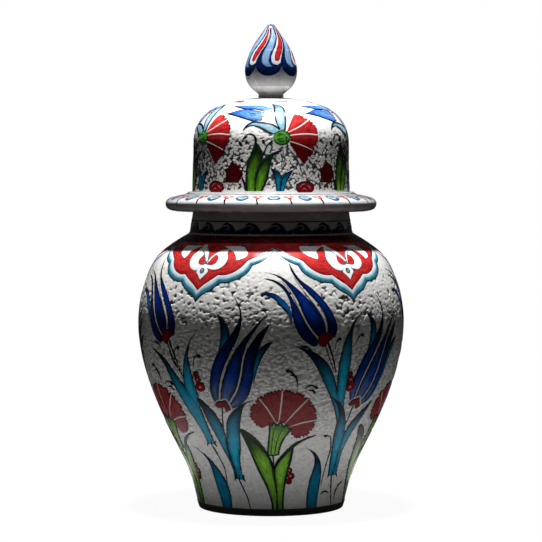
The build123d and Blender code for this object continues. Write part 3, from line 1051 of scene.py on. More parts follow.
class Paint(Enum):
    """The painter's palette: each colour's middle and edge, how wide the edge pools and how
    streaky it is; then, where it has them, its ink line, how much the edge widens, and its
    other colours at foot and tip."""

    COBALT = Enamel(
        "cobalt_enamel", (0.003, 0.038, 0.26), (0.001, 0.003, 0.02), 1.3, 0.3, 0.5, 1.6,
        foot=((0.1, 0.17, 0.4), 0.3), tip=((0.001, 0.002, 0.006), 0.75),
    )
    ROYAL_BLUE = Enamel(
        "royal_blue_enamel", (0.002, 0.034, 0.3), (0.001, 0.004, 0.05), 1.5, 0.3, 0.5, 0.8,
        foot=((0.002, 0.012, 0.08), 0.45), tip=((0.001, 0.003, 0.02), 0.55),
    )
    SKY_BLUE = Enamel(
        "sky_blue_enamel", (0.004, 0.16, 0.5), (0.001, 0.01, 0.06), 1.0, 0.25, 0.45, 0.8,
        foot=((0.004, 0.12, 0.42), 0.35), tip=((0.002, 0.015, 0.1), 0.6),
    )
    LID_BLUE = Enamel(
        "lid_blue_enamel", (0.04, 0.15, 0.5), (0.01, 0.04, 0.24), 1.0, 0.4, 0.3, 0.3,
        foot=((0.01, 0.05, 0.26), 0.45), tip=((0.1, 0.23, 0.52), 0.6), grain=(1.2, 9.0),
    )
    TURQUOISE = Enamel(
        "turquoise_enamel", (0.012, 0.35, 0.54), (0.001, 0.012, 0.035), 0.9, 0.3, 0.5, 1.6,
        foot=((0.012, 0.3, 0.48), 0.2), tip=((0.001, 0.004, 0.012), 0.6),
    )
    PALE_TURQUOISE = Enamel(
        "pale_turquoise_enamel", (0.31, 0.45, 0.49), (0.02, 0.16, 0.26), 0.8, 0.3, 0.4, 0.8,
        foot=((0.2, 0.42, 0.5), 0.3), tip=((0.03, 0.16, 0.26), 0.4),
    )
    # Its darker lower edge on the cartouche border is partly painted shade of the raised band.
    BAND_TURQUOISE = Enamel("band_turquoise_enamel", (0.04, 0.22, 0.3), (0.001, 0.025, 0.045), 1.7, 0.2)
    RED = Enamel(
        "tomato_red_enamel", (0.42, 0.02, 0.02), (0.2, 0.005, 0.007), 1.3, 0.3, grain=(0.9, 22.0),
    )
    FAN_RED = Enamel(
        "fan_red_enamel", (0.36, 0.012, 0.013), (0.14, 0.003, 0.004), 0.9, 0.42, 0.3,
        foot=((0.5, 0.035, 0.035), 0.45), tip=((0.1, 0.002, 0.002), 0.5), grain=(0.25, 34.0),
    )
    CARNATION_RED = Enamel(
        "carnation_red_enamel", (0.27, 0.022, 0.024), (0.09, 0.004, 0.005), 0.9, 0.3, 0.12,
        grain=(0.3, 30.0),
    )
    DARK_RED = Enamel(
        "dark_red_enamel", (0.24, 0.008, 0.01), (0.04, 0.001, 0.002), 0.6, 0.3, 0.4,
        tip=((0.2, 0.006, 0.008), 0.1),
    )
    DEEP_RED = Enamel(
        "deep_red_enamel", (0.08, 0.002, 0.003), (0.02, 0.001, 0.001), 0.8, 0.6, 0.2,
        tip=((0.06, 0.002, 0.003), 0.1), grain=(0.9, 12.0),
    )
    GREEN = Enamel(
        "leaf_green_enamel", (0.24, 0.55, 0.055), (0.006, 0.035, 0.008), 0.9, 0.3, 0.4, 0.8,
        foot=((0.2, 0.5, 0.05), 0.2), tip=((0.003, 0.02, 0.006), 0.5),
    )
    CALYX_GREEN = Enamel(
        "calyx_green_enamel", (0.24, 0.5, 0.07), (0.006, 0.035, 0.008), 0.5, 0.4, 0.3, 0.3,
        foot=((0.22, 0.5, 0.06), 0.2), tip=((0.1, 0.26, 0.04), 0.25),
    )
    LID_GREEN = Enamel(
        "lid_leaf_enamel", (0.09, 0.27, 0.012), (0.003, 0.015, 0.004), 1.1, 0.4, 0.4, 0.9,
        foot=((0.13, 0.36, 0.015), 0.35), tip=((0.003, 0.015, 0.004), 0.6),
    )
    HUB_GREEN = Enamel(
        "hub_green_enamel", (0.06, 0.27, 0.03), (0.006, 0.04, 0.008), 0.8, 0.6, 0.4,
        foot=((0.05, 0.2, 0.02), 0.3), tip=((0.12, 0.34, 0.05), 0.3), grain=(0.9, 6.0),
    )
    DARK_GREEN = Enamel("dark_green_enamel", (0.005, 0.028, 0.008), INK, 0.4, 0.2, tip=(INK, 0.3))
    SEA_LEAF = Enamel(
        "sea_leaf_enamel", (0.002, 0.25, 0.45), (0.001, 0.01, 0.03), 1.0, 0.3, 0.45, 1.2,
        foot=((0.002, 0.27, 0.48), 0.3), tip=((0.001, 0.003, 0.014), 0.65),
    )
    INK_LINE = Enamel("ink_line", (0.01, 0.01, 0.013), INK, 0.2, 0.2, foot=(INK, 0.1), tip=(INK, 0.1))
    INK_TEAL = Enamel("dark_teal_line", (0.01, 0.06, 0.085), (0.004, 0.03, 0.045), 0.3, 0.2)
    GREY_LINE = Enamel(
        "thin_grey_line", (0.16, 0.17, 0.19), (0.1, 0.1, 0.12), 0.2, 0.2, tip=((0.1, 0.1, 0.12), 0.1),
    )
    WHITE_LINE = Enamel("white_enamel", (0.66, 0.64, 0.6), (0.3, 0.28, 0.26), 0.16, 0.06)
    MILK_WHITE = Enamel("milk_white_enamel", (0.56, 0.58, 0.6), (0.3, 0.36, 0.42), 0.4, 0.06)
    SCROLL_WHITE = Enamel("scroll_white_enamel", (0.74, 0.75, 0.75), (0.45, 0.5, 0.54), 0.5, 0.04, 0.3)
    # Its bluish lower edge on the cartouche border is partly painted shade of the raised band.
    BAND_WHITE = Enamel(
        "band_white_enamel", (0.66, 0.72, 0.74), (0.18, 0.38, 0.48), 1.2, 0.08,
        tip=((0.62, 0.7, 0.73), 0.1),
    )
    NAVY_BLUE = Enamel("navy_enamel", (0.002, 0.012, 0.07), (0.001, 0.003, 0.014), 1.2, 0.35)
    POWDER_BLUE = Enamel(
        "powder_blue_enamel", (0.18, 0.3, 0.48), (0.03, 0.08, 0.22), 0.6, 0.25, 0.3,
        foot=((0.13, 0.25, 0.46), 0.3), tip=((0.3, 0.42, 0.56), 0.4),
    )
    FLORET_BLUE = Enamel("floret_blue_enamel", (0.015, 0.08, 0.17), (0.006, 0.03, 0.08), 0.3, 0.2)
    FLORET_PALE = Enamel("floret_pale_enamel", (0.12, 0.22, 0.27), (0.04, 0.11, 0.17), 0.4, 0.2)
    CORAL = Enamel("coral_enamel", (0.3, 0.025, 0.018), (0.18, 0.015, 0.01), 0.3, 0.15)
    ROSE = Enamel("rose_enamel", (0.6, 0.25, 0.27), (0.4, 0.08, 0.1), 0.3, 0.15)
    # Painted shade: a grey band on the knob's bulb under the lobes, lighter at its foot and darkest by
    # the navy.
    SMOKE = Enamel(
        "painted_shade_grey", (0.3, 0.31, 0.33), (0.3, 0.31, 0.33), 0.1, 0.1, foot=((0.46, 0.46, 0.47), 0.6),
        tip=((0.07, 0.075, 0.085), 0.45),
    )


class Ground(Enum):
    """Grounds and bare clay."""

    # The hammered glaze's second colour is painted shade, near black, for its crevices and pits.
    HAMMERED = WhiteGlaze(
        "hammered_white_glaze", (0.78, 0.77, 0.745), (0.014, 0.012, 0.01), (0.26, 0.42), 0.1
    )
    SMOOTH = WhiteGlaze("smooth_white_glaze", (0.78, 0.775, 0.76), (0.5, 0.5, 0.5), (0.16, 0.3), 0.2)
    # A darker copy of the white glaze, painted shade: it dims the brim's top under the overhead lamp.
    BRIM = WhiteGlaze("brim_shaded_white_glaze", (0.52, 0.52, 0.515), (0.5, 0.5, 0.5), (0.16, 0.3), 0.2)
    FOOT = Biscuit("bare_clay_with_black_slip", (0.62, 0.5, 0.4), (0.045, 0.043, 0.042), 0.0425)
    CLAY = Biscuit("bare_clay", (0.66, 0.55, 0.45), (0.66, 0.55, 0.45), 1.0)


def dress(piece: bpy.types.Object, finish: Paint | Ground) -> None:
    """Gives a piece its finish, which is made on first use."""
    name = finish.value.name
    material = bpy.data.materials.get(name) or finish.value.make()
    piece.data.materials.clear()
    piece.data.materials.append(material)


# ---------------------------------------------------------------- motifs of the garden


@dataclass(frozen=True)
class LeaningTulip:
    """The tall tulip that leans right, from its stem at the foot to its curling tips."""

    turns: Turns = (0, 67.6, 140.7, 213.8, 286.9)
    petals: Blades = (
        Blade(((-34, 76), (-37.3, 82), (-38, 90), (-36.8, 98), (-31, 111), (-23.2, 121), (-18.6, 131),
               (-22, 142.5)),
              ((-31.9, 77), (-31.1, 90), (-28.6, 99), (-24.4, 109), (-20, 117.5), (-17.9, 125),
               (-17.6, 133), (-22, 142.5))),
        Blade(((-31, 79), (-30.1, 89), (-27.3, 98.5), (-22.7, 108.5), (-14.6, 119), (-6.5, 128.3),
               (-2, 132.5)),
              ((-26.2, 77), (-21.6, 85), (-18.8, 94), (-17.4, 104), (-14.4, 114), (-9.5, 122),
               (-2, 132.5))),
        Blade(((-24.9, 76.5), (-20.6, 84), (-17.8, 94), (-15.8, 107), (-9.5, 118), (0, 127)),
              ((-24, 73.2), (-19.5, 75), (-13.8, 81.5), (-11, 91), (-9.4, 104), (0, 127))),
    )
    side_petals: Blades = (
        Blade(((-34, 100), (-32, 110), (-30.8, 117), (-31, 126), (-33.2, 132.6)),
              ((-31.5, 104), (-27.6, 112), (-25.1, 118.5), (-25.9, 124.5), (-33.2, 132.6))),
        Blade(((-10.6, 92), (-9.6, 105), (-7.3, 110.6), (-3.5, 114.2), (1.2, 115.8)),
              ((-10.4, 89), (-8, 99), (-5.2, 106), (-2, 111.5), (1.2, 115.8))),
    )
    gaps: Strokes = (
        Stroke(((-31.8, 79), (-30.6, 91), (-27.5, 101), (-24, 107.5), (-20, 114.5), (-17.7, 120.5)),
               (0.9, 0.9, 0.3)),
        Stroke(((-25.3, 77), (-21, 84.5), (-18.4, 94), (-16.4, 105.5), (-14, 113), (-10.8, 118.5)),
               (0.9, 0.9, 0.3)),
    )
    calyx: Blades = (
        Blade(((-34.9, 75), (-33, 77.6), (-30.5, 78), (-28, 78.8), (-26.2, 76.4), (-24.2, 72.4)),
              ((-34.9, 75), (-33.2, 73.6), (-31, 73.5), (-29.1, 74), (-27.3, 71.3), (-24.2, 72.4))),
    )
    calyx_rim: Strokes = (
        Stroke(((-35.6, 75.2), (-33.2, 78.3), (-30.5, 78.8), (-27.9, 79.6), (-25.5, 76.8), (-23.6, 72.6)),
               (0.8, 0.8)),
    )
    stems: Strokes = (Stroke(((-30, 73.6), (-29.9, 64), (-29.2, 52)), (0.9, 0.7)),)


@dataclass(frozen=True)
class BowingTulip:
    """The bright tulip that bows left under the cartouches."""

    turns: Turns = (0, 72, 144, 216, 287.4)
    petals: Blades = (
        Blade(((25.8, 112.3), (18.5, 117.5), (14, 126), (12.4, 133), (10.6, 141), (6, 148.2), (0, 152.3),
               (-4.8, 153.8)),
              ((28.4, 113.6), (27.6, 118.4), (22, 124.4), (17, 133.3), (12.3, 142.3), (7.5, 149.3),
               (1.6, 152.8), (-4.8, 153.8))),
        Blade(((29.1, 118), (24.6, 122.6), (19.5, 131.2), (16, 139.7), (10.5, 148.2), (4.6, 154.4),
               (-4, 157.8)),
              ((33.5, 121.4), (32.4, 127), (27.6, 135), (20.4, 142.8), (12.4, 150.1), (5.2, 155.2),
               (-4, 157.8))),
        Blade(((34.8, 120), (33.6, 129.4), (29, 137.4), (22, 145), (15.6, 152.4), (12, 158.4),
               (10.3, 165)),
              ((39.4, 117.3), (41.2, 123.6), (38.4, 131.5), (33, 139), (25, 147), (17, 153.4),
               (10.3, 165))),
    )
    side_petals: Blades = (
        Blade(((12.3, 125.5), (10.6, 131.3), (6.6, 136), (2, 140.8), (-2, 143), (-6.3, 143.3)),
              ((12.6, 130.5), (10.8, 136.4), (7.2, 140.7), (2, 144.4), (-3, 145.1), (-6.3, 143.3))),
    )
    gaps: Strokes = (
        Stroke(((6.6, 151.6), (11.4, 146.2), (17, 135), (22.3, 125), (28.4, 117.4)), (0.3, 0.9, 0.9)),
        Stroke(((13.6, 154.2), (21.2, 144.1), (28.3, 135.2), (32.8, 127.4), (34, 121)), (0.3, 0.9, 0.9)),
    )
    calyx: Blades = (
        Blade(((28.3, 116.6), (31.5, 120.9), (35, 121), (39, 118)),
              ((28.3, 116.6), (29.6, 113), (32.5, 112.2), (35.2, 115), (39, 118))),
    )
    stems: Strokes = (
        Stroke(((34.8, 115), (37.4, 108), (40.4, 96.5)), (1.3, 0.7)),
        Stroke(((33, 113), (35.4, 106.5), (38.6, 98)), (0.6, 0.5)),
    )


@dataclass(frozen=True)
class Carnation:
    """The fan-shaped carnation on its striped calyx, and the two green leaves below it."""

    turns: Turns = (0, 71.3, 143.8, 216.2, 288.4)
    fan: Blades = (
        Blade(((-0.3, 63.2), (3, 64.6), (6, 64.4), (9.5, 62.6), (12.3, 60.3)),
              ((-0.3, 63.9), (-3.8, 64.3), (-7, 61.2), (-10.8, 64.2), (-13, 69.6), (-11.6, 75.8),
               (-8.4, 80.2), (-3, 83.8), (4, 86.3), (13, 85.3), (20.8, 81.7), (26.3, 75.6), (28.5, 69),
               (27.4, 62.4), (24.4, 56.8), (18.3, 53.2), (14.8, 53.4), (14, 57), (12.3, 60.3)), 47, 1.7),
    )
    ribs: Strokes = (
        Stroke(((2.8, 64.4), (-1.5, 72.5), (-6.9, 80.2)), (0.5, 1.0, 0.8)),
        Stroke(((4.5, 64.2), (5.7, 73), (6.8, 85.6)), (0.5, 1.0, 0.9)),
        Stroke(((7.9, 63.2), (13.6, 70.2), (22.6, 80)), (0.5, 1.0, 0.8)),
        Stroke(((11.6, 61.6), (18.5, 63.8), (27.6, 65.4)), (0.5, 1.0, 0.8)),
    )
    calyx: Blades = (
        Blade(((-1.9, 41.8), (-1.4, 50), (-0.8, 57.4), (-0.9, 63.9)),
              ((4.4, 41.8), (5.4, 47.6), (7.4, 53), (12.7, 60.2))),
    )
    calyx_lines: Strokes = (
        Stroke(((-2.1, 41.6), (-1.6, 50), (-1, 57.4), (-1.1, 64)), (0.8, 0.8)),
        Stroke(((4.6, 41.6), (5.6, 47.6), (7.7, 53), (13, 60.2)), (0.8, 0.9)),
        Stroke(((0, 42), (0.7, 51), (2.2, 61)), (0.5, 0.6, 0.3)),
        Stroke(((2.2, 42), (3.5, 51), (7, 60)), (0.5, 0.6, 0.3)),
        Stroke(((-1.1, 64), (0, 62), (2.2, 64.6), (3.2, 62), (6, 64.2), (7.2, 61.2), (9.8, 62.4),
                (10.6, 60), (13, 60.2)), (1.2, 1.2)),
        Stroke(((-2.1, 41.9), (0.8, 41.2), (4.5, 41.9)), (1.0, 1.0)),
    )
    stems: Strokes = (Stroke(((1.2, 41.2), (1.5, 37), (1.4, 32)), (0.9, 0.8)),)
    leaves: Blades = (
        Blade(((1.0, 4.6), (0.6, 9), (-1.6, 17), (-8, 32), (-13.6, 47), (-18.9, 58.4)),
              ((3.9, 4.6), (3.6, 15), (2.0, 26), (-0.6, 38), (-7.6, 49.6), (-18.9, 58.4))),
        Blade(((3.7, 4.6), (3.5, 16), (2.2, 26), (2.0, 32), (8.2, 42), (16.4, 50), (27.8, 54.5)),
              ((7.3, 4.6), (7.5, 13.7), (9.9, 29.5), (11.9, 38), (13.3, 46.6), (27.8, 54.5))),
    )
    leaf_lines: Strokes = (
        Stroke(((-18.9, 58.6), (-12.8, 55.2), (-7.6, 49.6), (-3, 43), (0.2, 36.4), (1.9, 30)),
               (0.7, 2.6, 2.2, 1.4, 0.8)),
        Stroke(((-18.6, 58.2), (-13.6, 47), (-8, 32), (-1.6, 17), (0.8, 8), (1.1, 4.6)),
               (0.6, 1.2, 1.2, 0.9)),
        Stroke(((27.8, 54.6), (21, 52.4), (14.6, 48.6), (8.4, 42.2), (4.4, 37), (1.9, 31)),
               (0.5, 1.4, 2.2, 2.0, 0.8)),
        Stroke(((13.4, 46.8), (12, 38), (9.9, 29.5), (7.5, 13.7), (7.3, 4.6)), (1.0, 1.3, 1.1, 0.9)),
        Stroke(((1.8, 31), (2.6, 24), (3.6, 15)), (0.9, 0.7, 0.2)),
    )


@dataclass(frozen=True)
class UpperLeaves:
    """The pair of turquoise leaves beside the bowing tulip."""

    turns: Turns = (0, 144, 289)
    leaves: Blades = (
        Blade(((-41.6, 48.3), (-44.3, 54.5), (-49, 62.2), (-55, 69.8), (-61.2, 78.3), (-68.4, 88.6),
               (-75, 98.8), (-90.5, 110.2)),
              ((-35.4, 47.8), (-38.2, 54.5), (-42, 64.5), (-47, 75.5), (-54.5, 83.5), (-62.8, 92.4),
               (-72.8, 101.6), (-90.5, 110.2))),
        Blade(((-48, 72), (-52.6, 78.5), (-56.8, 84.5), (-57.8, 93.7), (-55.8, 106.8), (-52, 115),
               (-45.6, 122.4)),
              ((-45.2, 74), (-46.8, 81), (-50, 91.2), (-52.3, 99), (-53.4, 107), (-51, 115.5),
               (-45.6, 122.4))),
    )
    stubs: Strokes = (
        Stroke(((-41.8, 50.6), (-41.2, 48.2), (-42, 46)), (0.4, 1.2, 0.4)),
        Stroke(((-38.6, 51), (-38.4, 48), (-38.2, 46)), (0.4, 1.3, 0.5)),
        Stroke(((-35.4, 50.2), (-35.8, 47.8), (-34.4, 46.2)), (0.4, 1.2, 0.4)),
        Stroke(((-41.4, 48.4), (-38.4, 48), (-35.6, 47.9)), (0.7, 0.5)),
    )


@dataclass(frozen=True)
class LowerLeaves:
    """The pair of turquoise leaves under the leaning tulip."""

    turns: Turns = (0, 141.6, 286.4)
    leaves: Blades = (
        Blade(((-22.6, 24), (-23.9, 30.3), (-26.5, 37), (-30.6, 45.3), (-34.8, 53.7), (-40.2, 63.5),
               (-46.6, 76), (-54.3, 83.3)),
              ((-21.2, 24), (-22.2, 30), (-24.7, 37), (-27, 47), (-28.3, 56), (-32, 65), (-41, 75.6),
               (-54.3, 83.3))),
        Blade(((-21.4, 24), (-22.2, 30), (-24.7, 37), (-27, 47), (-27.7, 56), (-26.4, 67), (-19.5, 74.8),
               (-8, 80)),
              ((-16.5, 23.3), (-18, 29), (-18.8, 37), (-18.4, 47), (-18.9, 59), (-18, 67.8),
               (-15.8, 75.6), (-8, 80))),
    )
    stubs: Strokes = (
        Stroke(((-22.9, 27.4), (-22.2, 24.8), (-22.8, 22.8)), (0.4, 1.2, 0.4)),
        Stroke(((-19.6, 27.6), (-19.6, 24.6), (-19.4, 22.4)), (0.4, 1.4, 0.5)),
        Stroke(((-17, 27), (-16.8, 24.2), (-15.6, 22.2)), (0.4, 1.2, 0.4)),
        Stroke(((-22.2, 24.7), (-19.4, 24.4), (-16.8, 24)), (0.7, 0.5)),
    )


@dataclass(frozen=True)
class LeafClump:
    """Four turquoise leaves from one foot, in place of the two pairs, and their dark leaf."""

    turns: Turns = (0, 144)
    tall_leaves: Blades = (
        Blade(((43.4, 48), (42.6, 58), (41.7, 65.2), (39.6, 72.7), (37, 80), (33.6, 87), (30.2, 94.5),
               (26, 102.4), (20.6, 109), (13.3, 113.1)),
              ((47.4, 48), (46.8, 60), (45.2, 70), (43.6, 78), (41.7, 85), (40, 91.8), (37.5, 97.7),
               (34.2, 102.7), (28, 108), (13.3, 113.1))),
        Blade(((43, 70), (41.8, 80), (41.5, 89.3), (42, 96.8), (43.3, 105.2), (45.8, 113.5),
               (49.2, 120.4), (53, 126.8), (60, 132.7)),
              ((47, 70), (47.6, 81), (49, 89.3), (50.2, 97), (51.4, 106), (51.9, 115.2), (52.6, 121.8),
               (55.4, 127.8), (60, 132.7))),
    )
    leaves: Blades = (
        Blade(((38.2, 25), (38.8, 34), (40, 47.7), (41.3, 58.5), (43.2, 66.6), (42.2, 73), (36.7, 81.4)),
              ((42.6, 25), (44.6, 36), (47.6, 48), (49.4, 58), (49.2, 65), (45.6, 74.8), (36.7, 81.4))),
        Blade(((42, 25), (43.6, 34), (46, 46), (50, 56.8), (55, 62.7), (61, 68), (67.6, 72.4),
               (74.2, 76)),
              ((46, 25), (47.4, 34), (49.4, 42.7), (53.3, 50.2), (57.7, 56.8), (63.3, 63.5), (69, 70.2),
               (74.2, 76))),
    )
    stubs: Strokes = (
        Stroke(((38.4, 28), (38.8, 25.6), (38, 23.6)), (0.4, 1.3, 0.4)),
        Stroke(((42.2, 28.4), (42.1, 25.6), (40.9, 24.4)), (0.4, 1.5, 0.6)),
        Stroke(((45.8, 28), (45.6, 25.6), (46.8, 23.2)), (0.4, 1.3, 0.4)),
        Stroke(((38.6, 25.2), (42, 25), (45.8, 25.2)), (0.7, 0.5)),
    )
    stems: Strokes = (
        Stroke(((41.2, 24.4), (41.8, 15), (42.4, 4.7)), (1.1, 0.7)),
        Stroke(((38.4, 53), (38.8, 43.6), (36.6, 35.2), (34.5, 26), (32.9, 18.6)), (0.5, 0.9, 0.6, 0.3)),
    )
    commas: Strokes = (
        Stroke(((34.6, 53.8), (36.4, 53.8), (38.6, 52.6)), (1.0, 0.4)),
        Stroke(((32.9, 12.7), (35, 14.3), (37.2, 14.3), (39.6, 12.7)), (0.4, 1.2, 0.4)),
        Stroke(((52, 18.6), (49.2, 17), (46.6, 13.4), (44.9, 8.4)), (1.0, 0.8, 0.3)),
    )
    comma_heads: Dots = (Dot((34.4, 53.6), 1.0, 0.9), Dot((52.4, 18.8), 1.0, 0.8, 30))
    dark_leaf: Blades = (
        Blade(((22.3, 4.6), (22.8, 15.3), (24.5, 23.7), (26.6, 30.3), (27.6, 36), (26.6, 40.4),
               (21.4, 46)),
              ((29.5, 4.6), (31.2, 15.3), (32.4, 22.8), (32.6, 29.4), (31.4, 36), (28.4, 41.4),
               (21.4, 46))),
    )


@dataclass(frozen=True)
class SmallGrowth:
    """Dark leaves at the foot, thin stems, commas and berries between the flowers."""

    leaf_turns: Turns = (0, 143, 286)
    dark_leaves: Blades = (
        Blade(((-31.9, 4.6), (-33.2, 9), (-35.5, 15.3), (-38.4, 24), (-42.4, 35.3), (-53.8, 44.4)),
              ((-24.7, 4.6), (-25.5, 12), (-28.4, 21), (-33.4, 29), (-42, 37.6), (-53.8, 44.4))),
    )
    turns: Turns = (0, 72, 144, 216, 288)
    stem_turns: Turns = (0, 144, 288)
    stems: Strokes = (
        Stroke(((-38, 46.4), (-33.6, 39), (-30, 31.5), (-28.3, 20.5)), (0.9, 0.5)),
        Stroke(((-19.5, 22.6), (-17, 17.4), (-14.6, 12), (-12.7, 4.7)), (0.9, 0.6)),
        Stroke(((-57.5, 92), (-62.4, 97.8), (-66.6, 102.6), (-69, 109)), (0.5, 0.8)),
    )
    commas: Strokes = (
        Stroke(((20, 86.3), (22.4, 87.9), (25, 88.3), (27, 87.6)), (0.3, 0.7, 1.0)),
        Stroke(((10.2, 97.9), (12.4, 96.8), (14.6, 94.4), (15.7, 91.2), (15.4, 86.8)), (1.1, 0.9, 0.3)),
        Stroke(((-73, 84.9), (-70.4, 85.2), (-67.6, 82.7)), (0.5, 1.2, 0.4)),
        Stroke(((-88, 95), (-85, 94.6), (-82.6, 91.2)), (0.5, 1.2, 0.4)),
        Stroke(((16.7, 112.6), (21.5, 112.2), (25, 109.4)), (0.4, 1.0, 0.4)),
    )
    comma_heads: Dots = (Dot((27.4, 87), 1.25, 0.8, -35), Dot((10, 97.8), 1.25, 0.9))
    hook_turns: Turns = (0, 144, 216, 288)
    hooks: Strokes = (
        Stroke(((-64.6, 102.6), (-64.6, 107), (-63.4, 110), (-61.8, 110.7)), (0.3, 0.6, 0.9)),
        Stroke(((-49.6, 98.6), (-49.4, 102.8), (-48, 105.6), (-45.8, 106.6)), (0.3, 0.6, 0.9)),
    )
    hook_heads: Dots = (Dot((-61.4, 110.2), 1.15, 0.85, -30), Dot((-45.2, 106.1), 1.35, 0.8, -30))
    high_hook_turns: Turns = (0,)
    high_hooks: Strokes = (
        Stroke(((39.9, 110.6), (40.4, 114.6), (42.4, 117)), (0.3, 0.6, 0.9)),
        Stroke(((55, 113.8), (56.6, 116.8), (59.2, 118.6)), (0.3, 0.6, 0.9)),
    )
    high_hook_heads: Dots = (Dot((43, 116.6), 1.1, 0.85, -30), Dot((60, 118.4), 1.2, 0.8, -20))
    berries: Dots = (
        Dot((11.2, 30.4), 1.9),
        Dot((12.1, 26.3), 2.4),
        Dot((-48, 94.6), 1.9),
        Dot((-46.6, 91.4), 2.3),
        Dot((-44.9, 86.6), 3.0, 1.2, 60),
    )
    solid_berries: Dots = (Dot((10.8, 22.8), 2.1),)
    berry_hearts: Dots = (
        Dot((11, 30.4), 0.7),
        Dot((11.8, 26.5), 0.9),
        Dot((-46.6, 91.4), 0.8),
        Dot((-44.9, 86.6), 0.9, 1.3, 60),
    )


@dataclass(frozen=True)
class Cartouches:
    """The five red pointed cartouches that hang from the neck, drawn about their own axis.

    The right half is drawn and its reflection is the left half, apart from the scrolls.
    """

    turns: Turns = (-33.6, 37.6, 109.2, 181.4, 253.6)
    red_edge: Line = (
        (0, 145.6), (3.6, 149), (8, 152.2), (12, 155.4), (12, 155.4), (16.4, 155.4), (21, 157),
        (25.2, 160.6), (27.6, 165.2), (27.6, 165.2), (31.4, 168.2), (35.2, 170.9), (38, 174), (40.2, 177)
    )
    band_white_edge: Line = (
        (0, 142.4), (3.8, 146), (8.9, 148.7), (12.8, 152.6), (12.8, 152.6), (17.8, 152.9), (23.4, 155),
        (28.4, 159), (29.8, 163.6), (29.8, 163.6), (34.2, 165.7), (37.6, 168.7), (39.8, 172.8)
    )
    band_edge: Line = (
        (0, 139.2), (4.2, 143), (10, 146.3), (14, 150.4), (14, 150.4), (19, 150.7), (25.3, 153),
        (30.2, 157), (31.8, 161.8), (31.8, 161.8), (35.6, 163.9), (38.4, 166.8), (39.9, 170.8)
    )
    top: float = 190.4
    # Foot of the dark red band of painted shadow that the brim casts on the shoulder.
    shadow_band_foot: float = 181.0
    flecks: Strokes = (
        Stroke(((33.6, 171.4), (36.4, 174), (39.4, 178)), (0.2, 1.3, 0.3)),
        Stroke(((-33.6, 171.4), (-36.4, 174), (-39.4, 178)), (0.2, 1.3, 0.3)),
    )
    scrolls: Blades = (
        Blade(((0.4, 160.2), (-3.8, 157.9), (-7.4, 158.4), (-10.4, 160.7), (-12, 164.8), (-11.6, 168.4),
               (-10.2, 171.6), (-9.4, 176)),
              ((1.2, 162.6), (-1.4, 162.3), (-3.6, 163), (-4.5, 165.2), (-3.6, 168), (-3, 169.8),
               (-4.9, 172.4), (-7.6, 176))),
        Blade(((1.2, 160.4), (5, 159), (9.2, 158.5), (12.6, 160), (14.8, 163.4), (14.6, 167.4),
               (13, 170.6), (11.8, 174)),
              ((1.6, 162.9), (4.6, 162.2), (7.2, 162.8), (8.3, 165.7), (7.4, 168.6), (5.8, 170),
               (7.4, 171.8), (9.8, 173))),
    )
    stems: Blades = (
        Blade(((0.7, 163.4), (-0.3, 165.8), (-2.6, 169.4), (-4.7, 172.3), (-7.8, 175), (-9, 179)),
              ((2.3, 163.9), (1.7, 166.6), (0.5, 169.6), (-0.9, 172.7), (-3.6, 176), (-5, 179))),
        Blade(((1.6, 163.6), (2.5, 166.6), (3.5, 169.4), (5.3, 172.1), (8, 174.3), (11.6, 175.4)),
              ((2.6, 162.8), (3.9, 166), (4.9, 168.4), (6.6, 170.7), (9.6, 172.2), (12.6, 172.2))),
    )
    drop: Blades = (
        Blade(((0.4, 151.9), (-2.1, 155.1), (-4, 157.6), (-2.2, 159.8), (0.4, 162.6)),
              ((0.4, 151.9), (2.8, 154.9), (4.9, 157.7), (3.4, 160.2), (1.4, 162.6))),
    )
    thumbs: Blades = (
        Blade(((-23.6, 178), (-24.6, 173.4), (-23.4, 169.8), (-20.6, 167.4), (-17.4, 166)),
              ((-8, 178), (-12.5, 175), (-15, 172.6), (-15.6, 169.4), (-17.4, 166))),
        Blade(((6.4, 178), (12.5, 174.4), (16, 172), (18.4, 169), (20.2, 165.2)),
              ((20, 178), (23, 174.6), (25.2, 171.6), (25.4, 168.2), (20.2, 165.2))),
    )
    scroll_lines: Strokes = (
        Stroke(((1, 163.6), (-0.3, 165.8), (-2.6, 169.4), (-4.7, 172.3), (-7.8, 174.8)),
               (0.8, 0.5, 0.4, 0.3)),
        Stroke(((2.2, 164.2), (1.7, 166.6), (0.5, 169.6), (-0.9, 172.7), (-3.6, 176)),
               (0.7, 0.5, 0.6, 0.9)),
        Stroke(((1.8, 164), (2.5, 166.6), (3.5, 169.4), (5.3, 172.1), (8, 174.3), (11.6, 175.4)),
               (0.7, 0.5, 0.6, 0.3)),
        Stroke(((-1.6, 163.2), (0.4, 163.6), (2.4, 164.6)), (0.3, 1.0, 0.5)),
    )
    ring: Dots = (Dot((0.3, 158), 1.8, 1.15, line=1.1),)
    ring_heart: Dots = (Dot((0.3, 158), 0.9, 1.1),)
    crescents: Blades = (
        Blade(((-22, 181.4), (-17, 179.8), (-11, 181.2)), ((-22, 181.4), (-16, 177.6), (-11, 181.2))),
        Blade(((26, 181.4), (20, 179.6), (13, 181)), ((26, 181.4), (20, 177.4), (13, 181))),
    )

    def halves(self, line: Line) -> Line:
        """The whole edge from left to right: the drawn half and its reflection."""
        return tuple((-x, s) for x, s in reversed(line)) + line


# ---------------------------------------------------------------- motifs of the lid


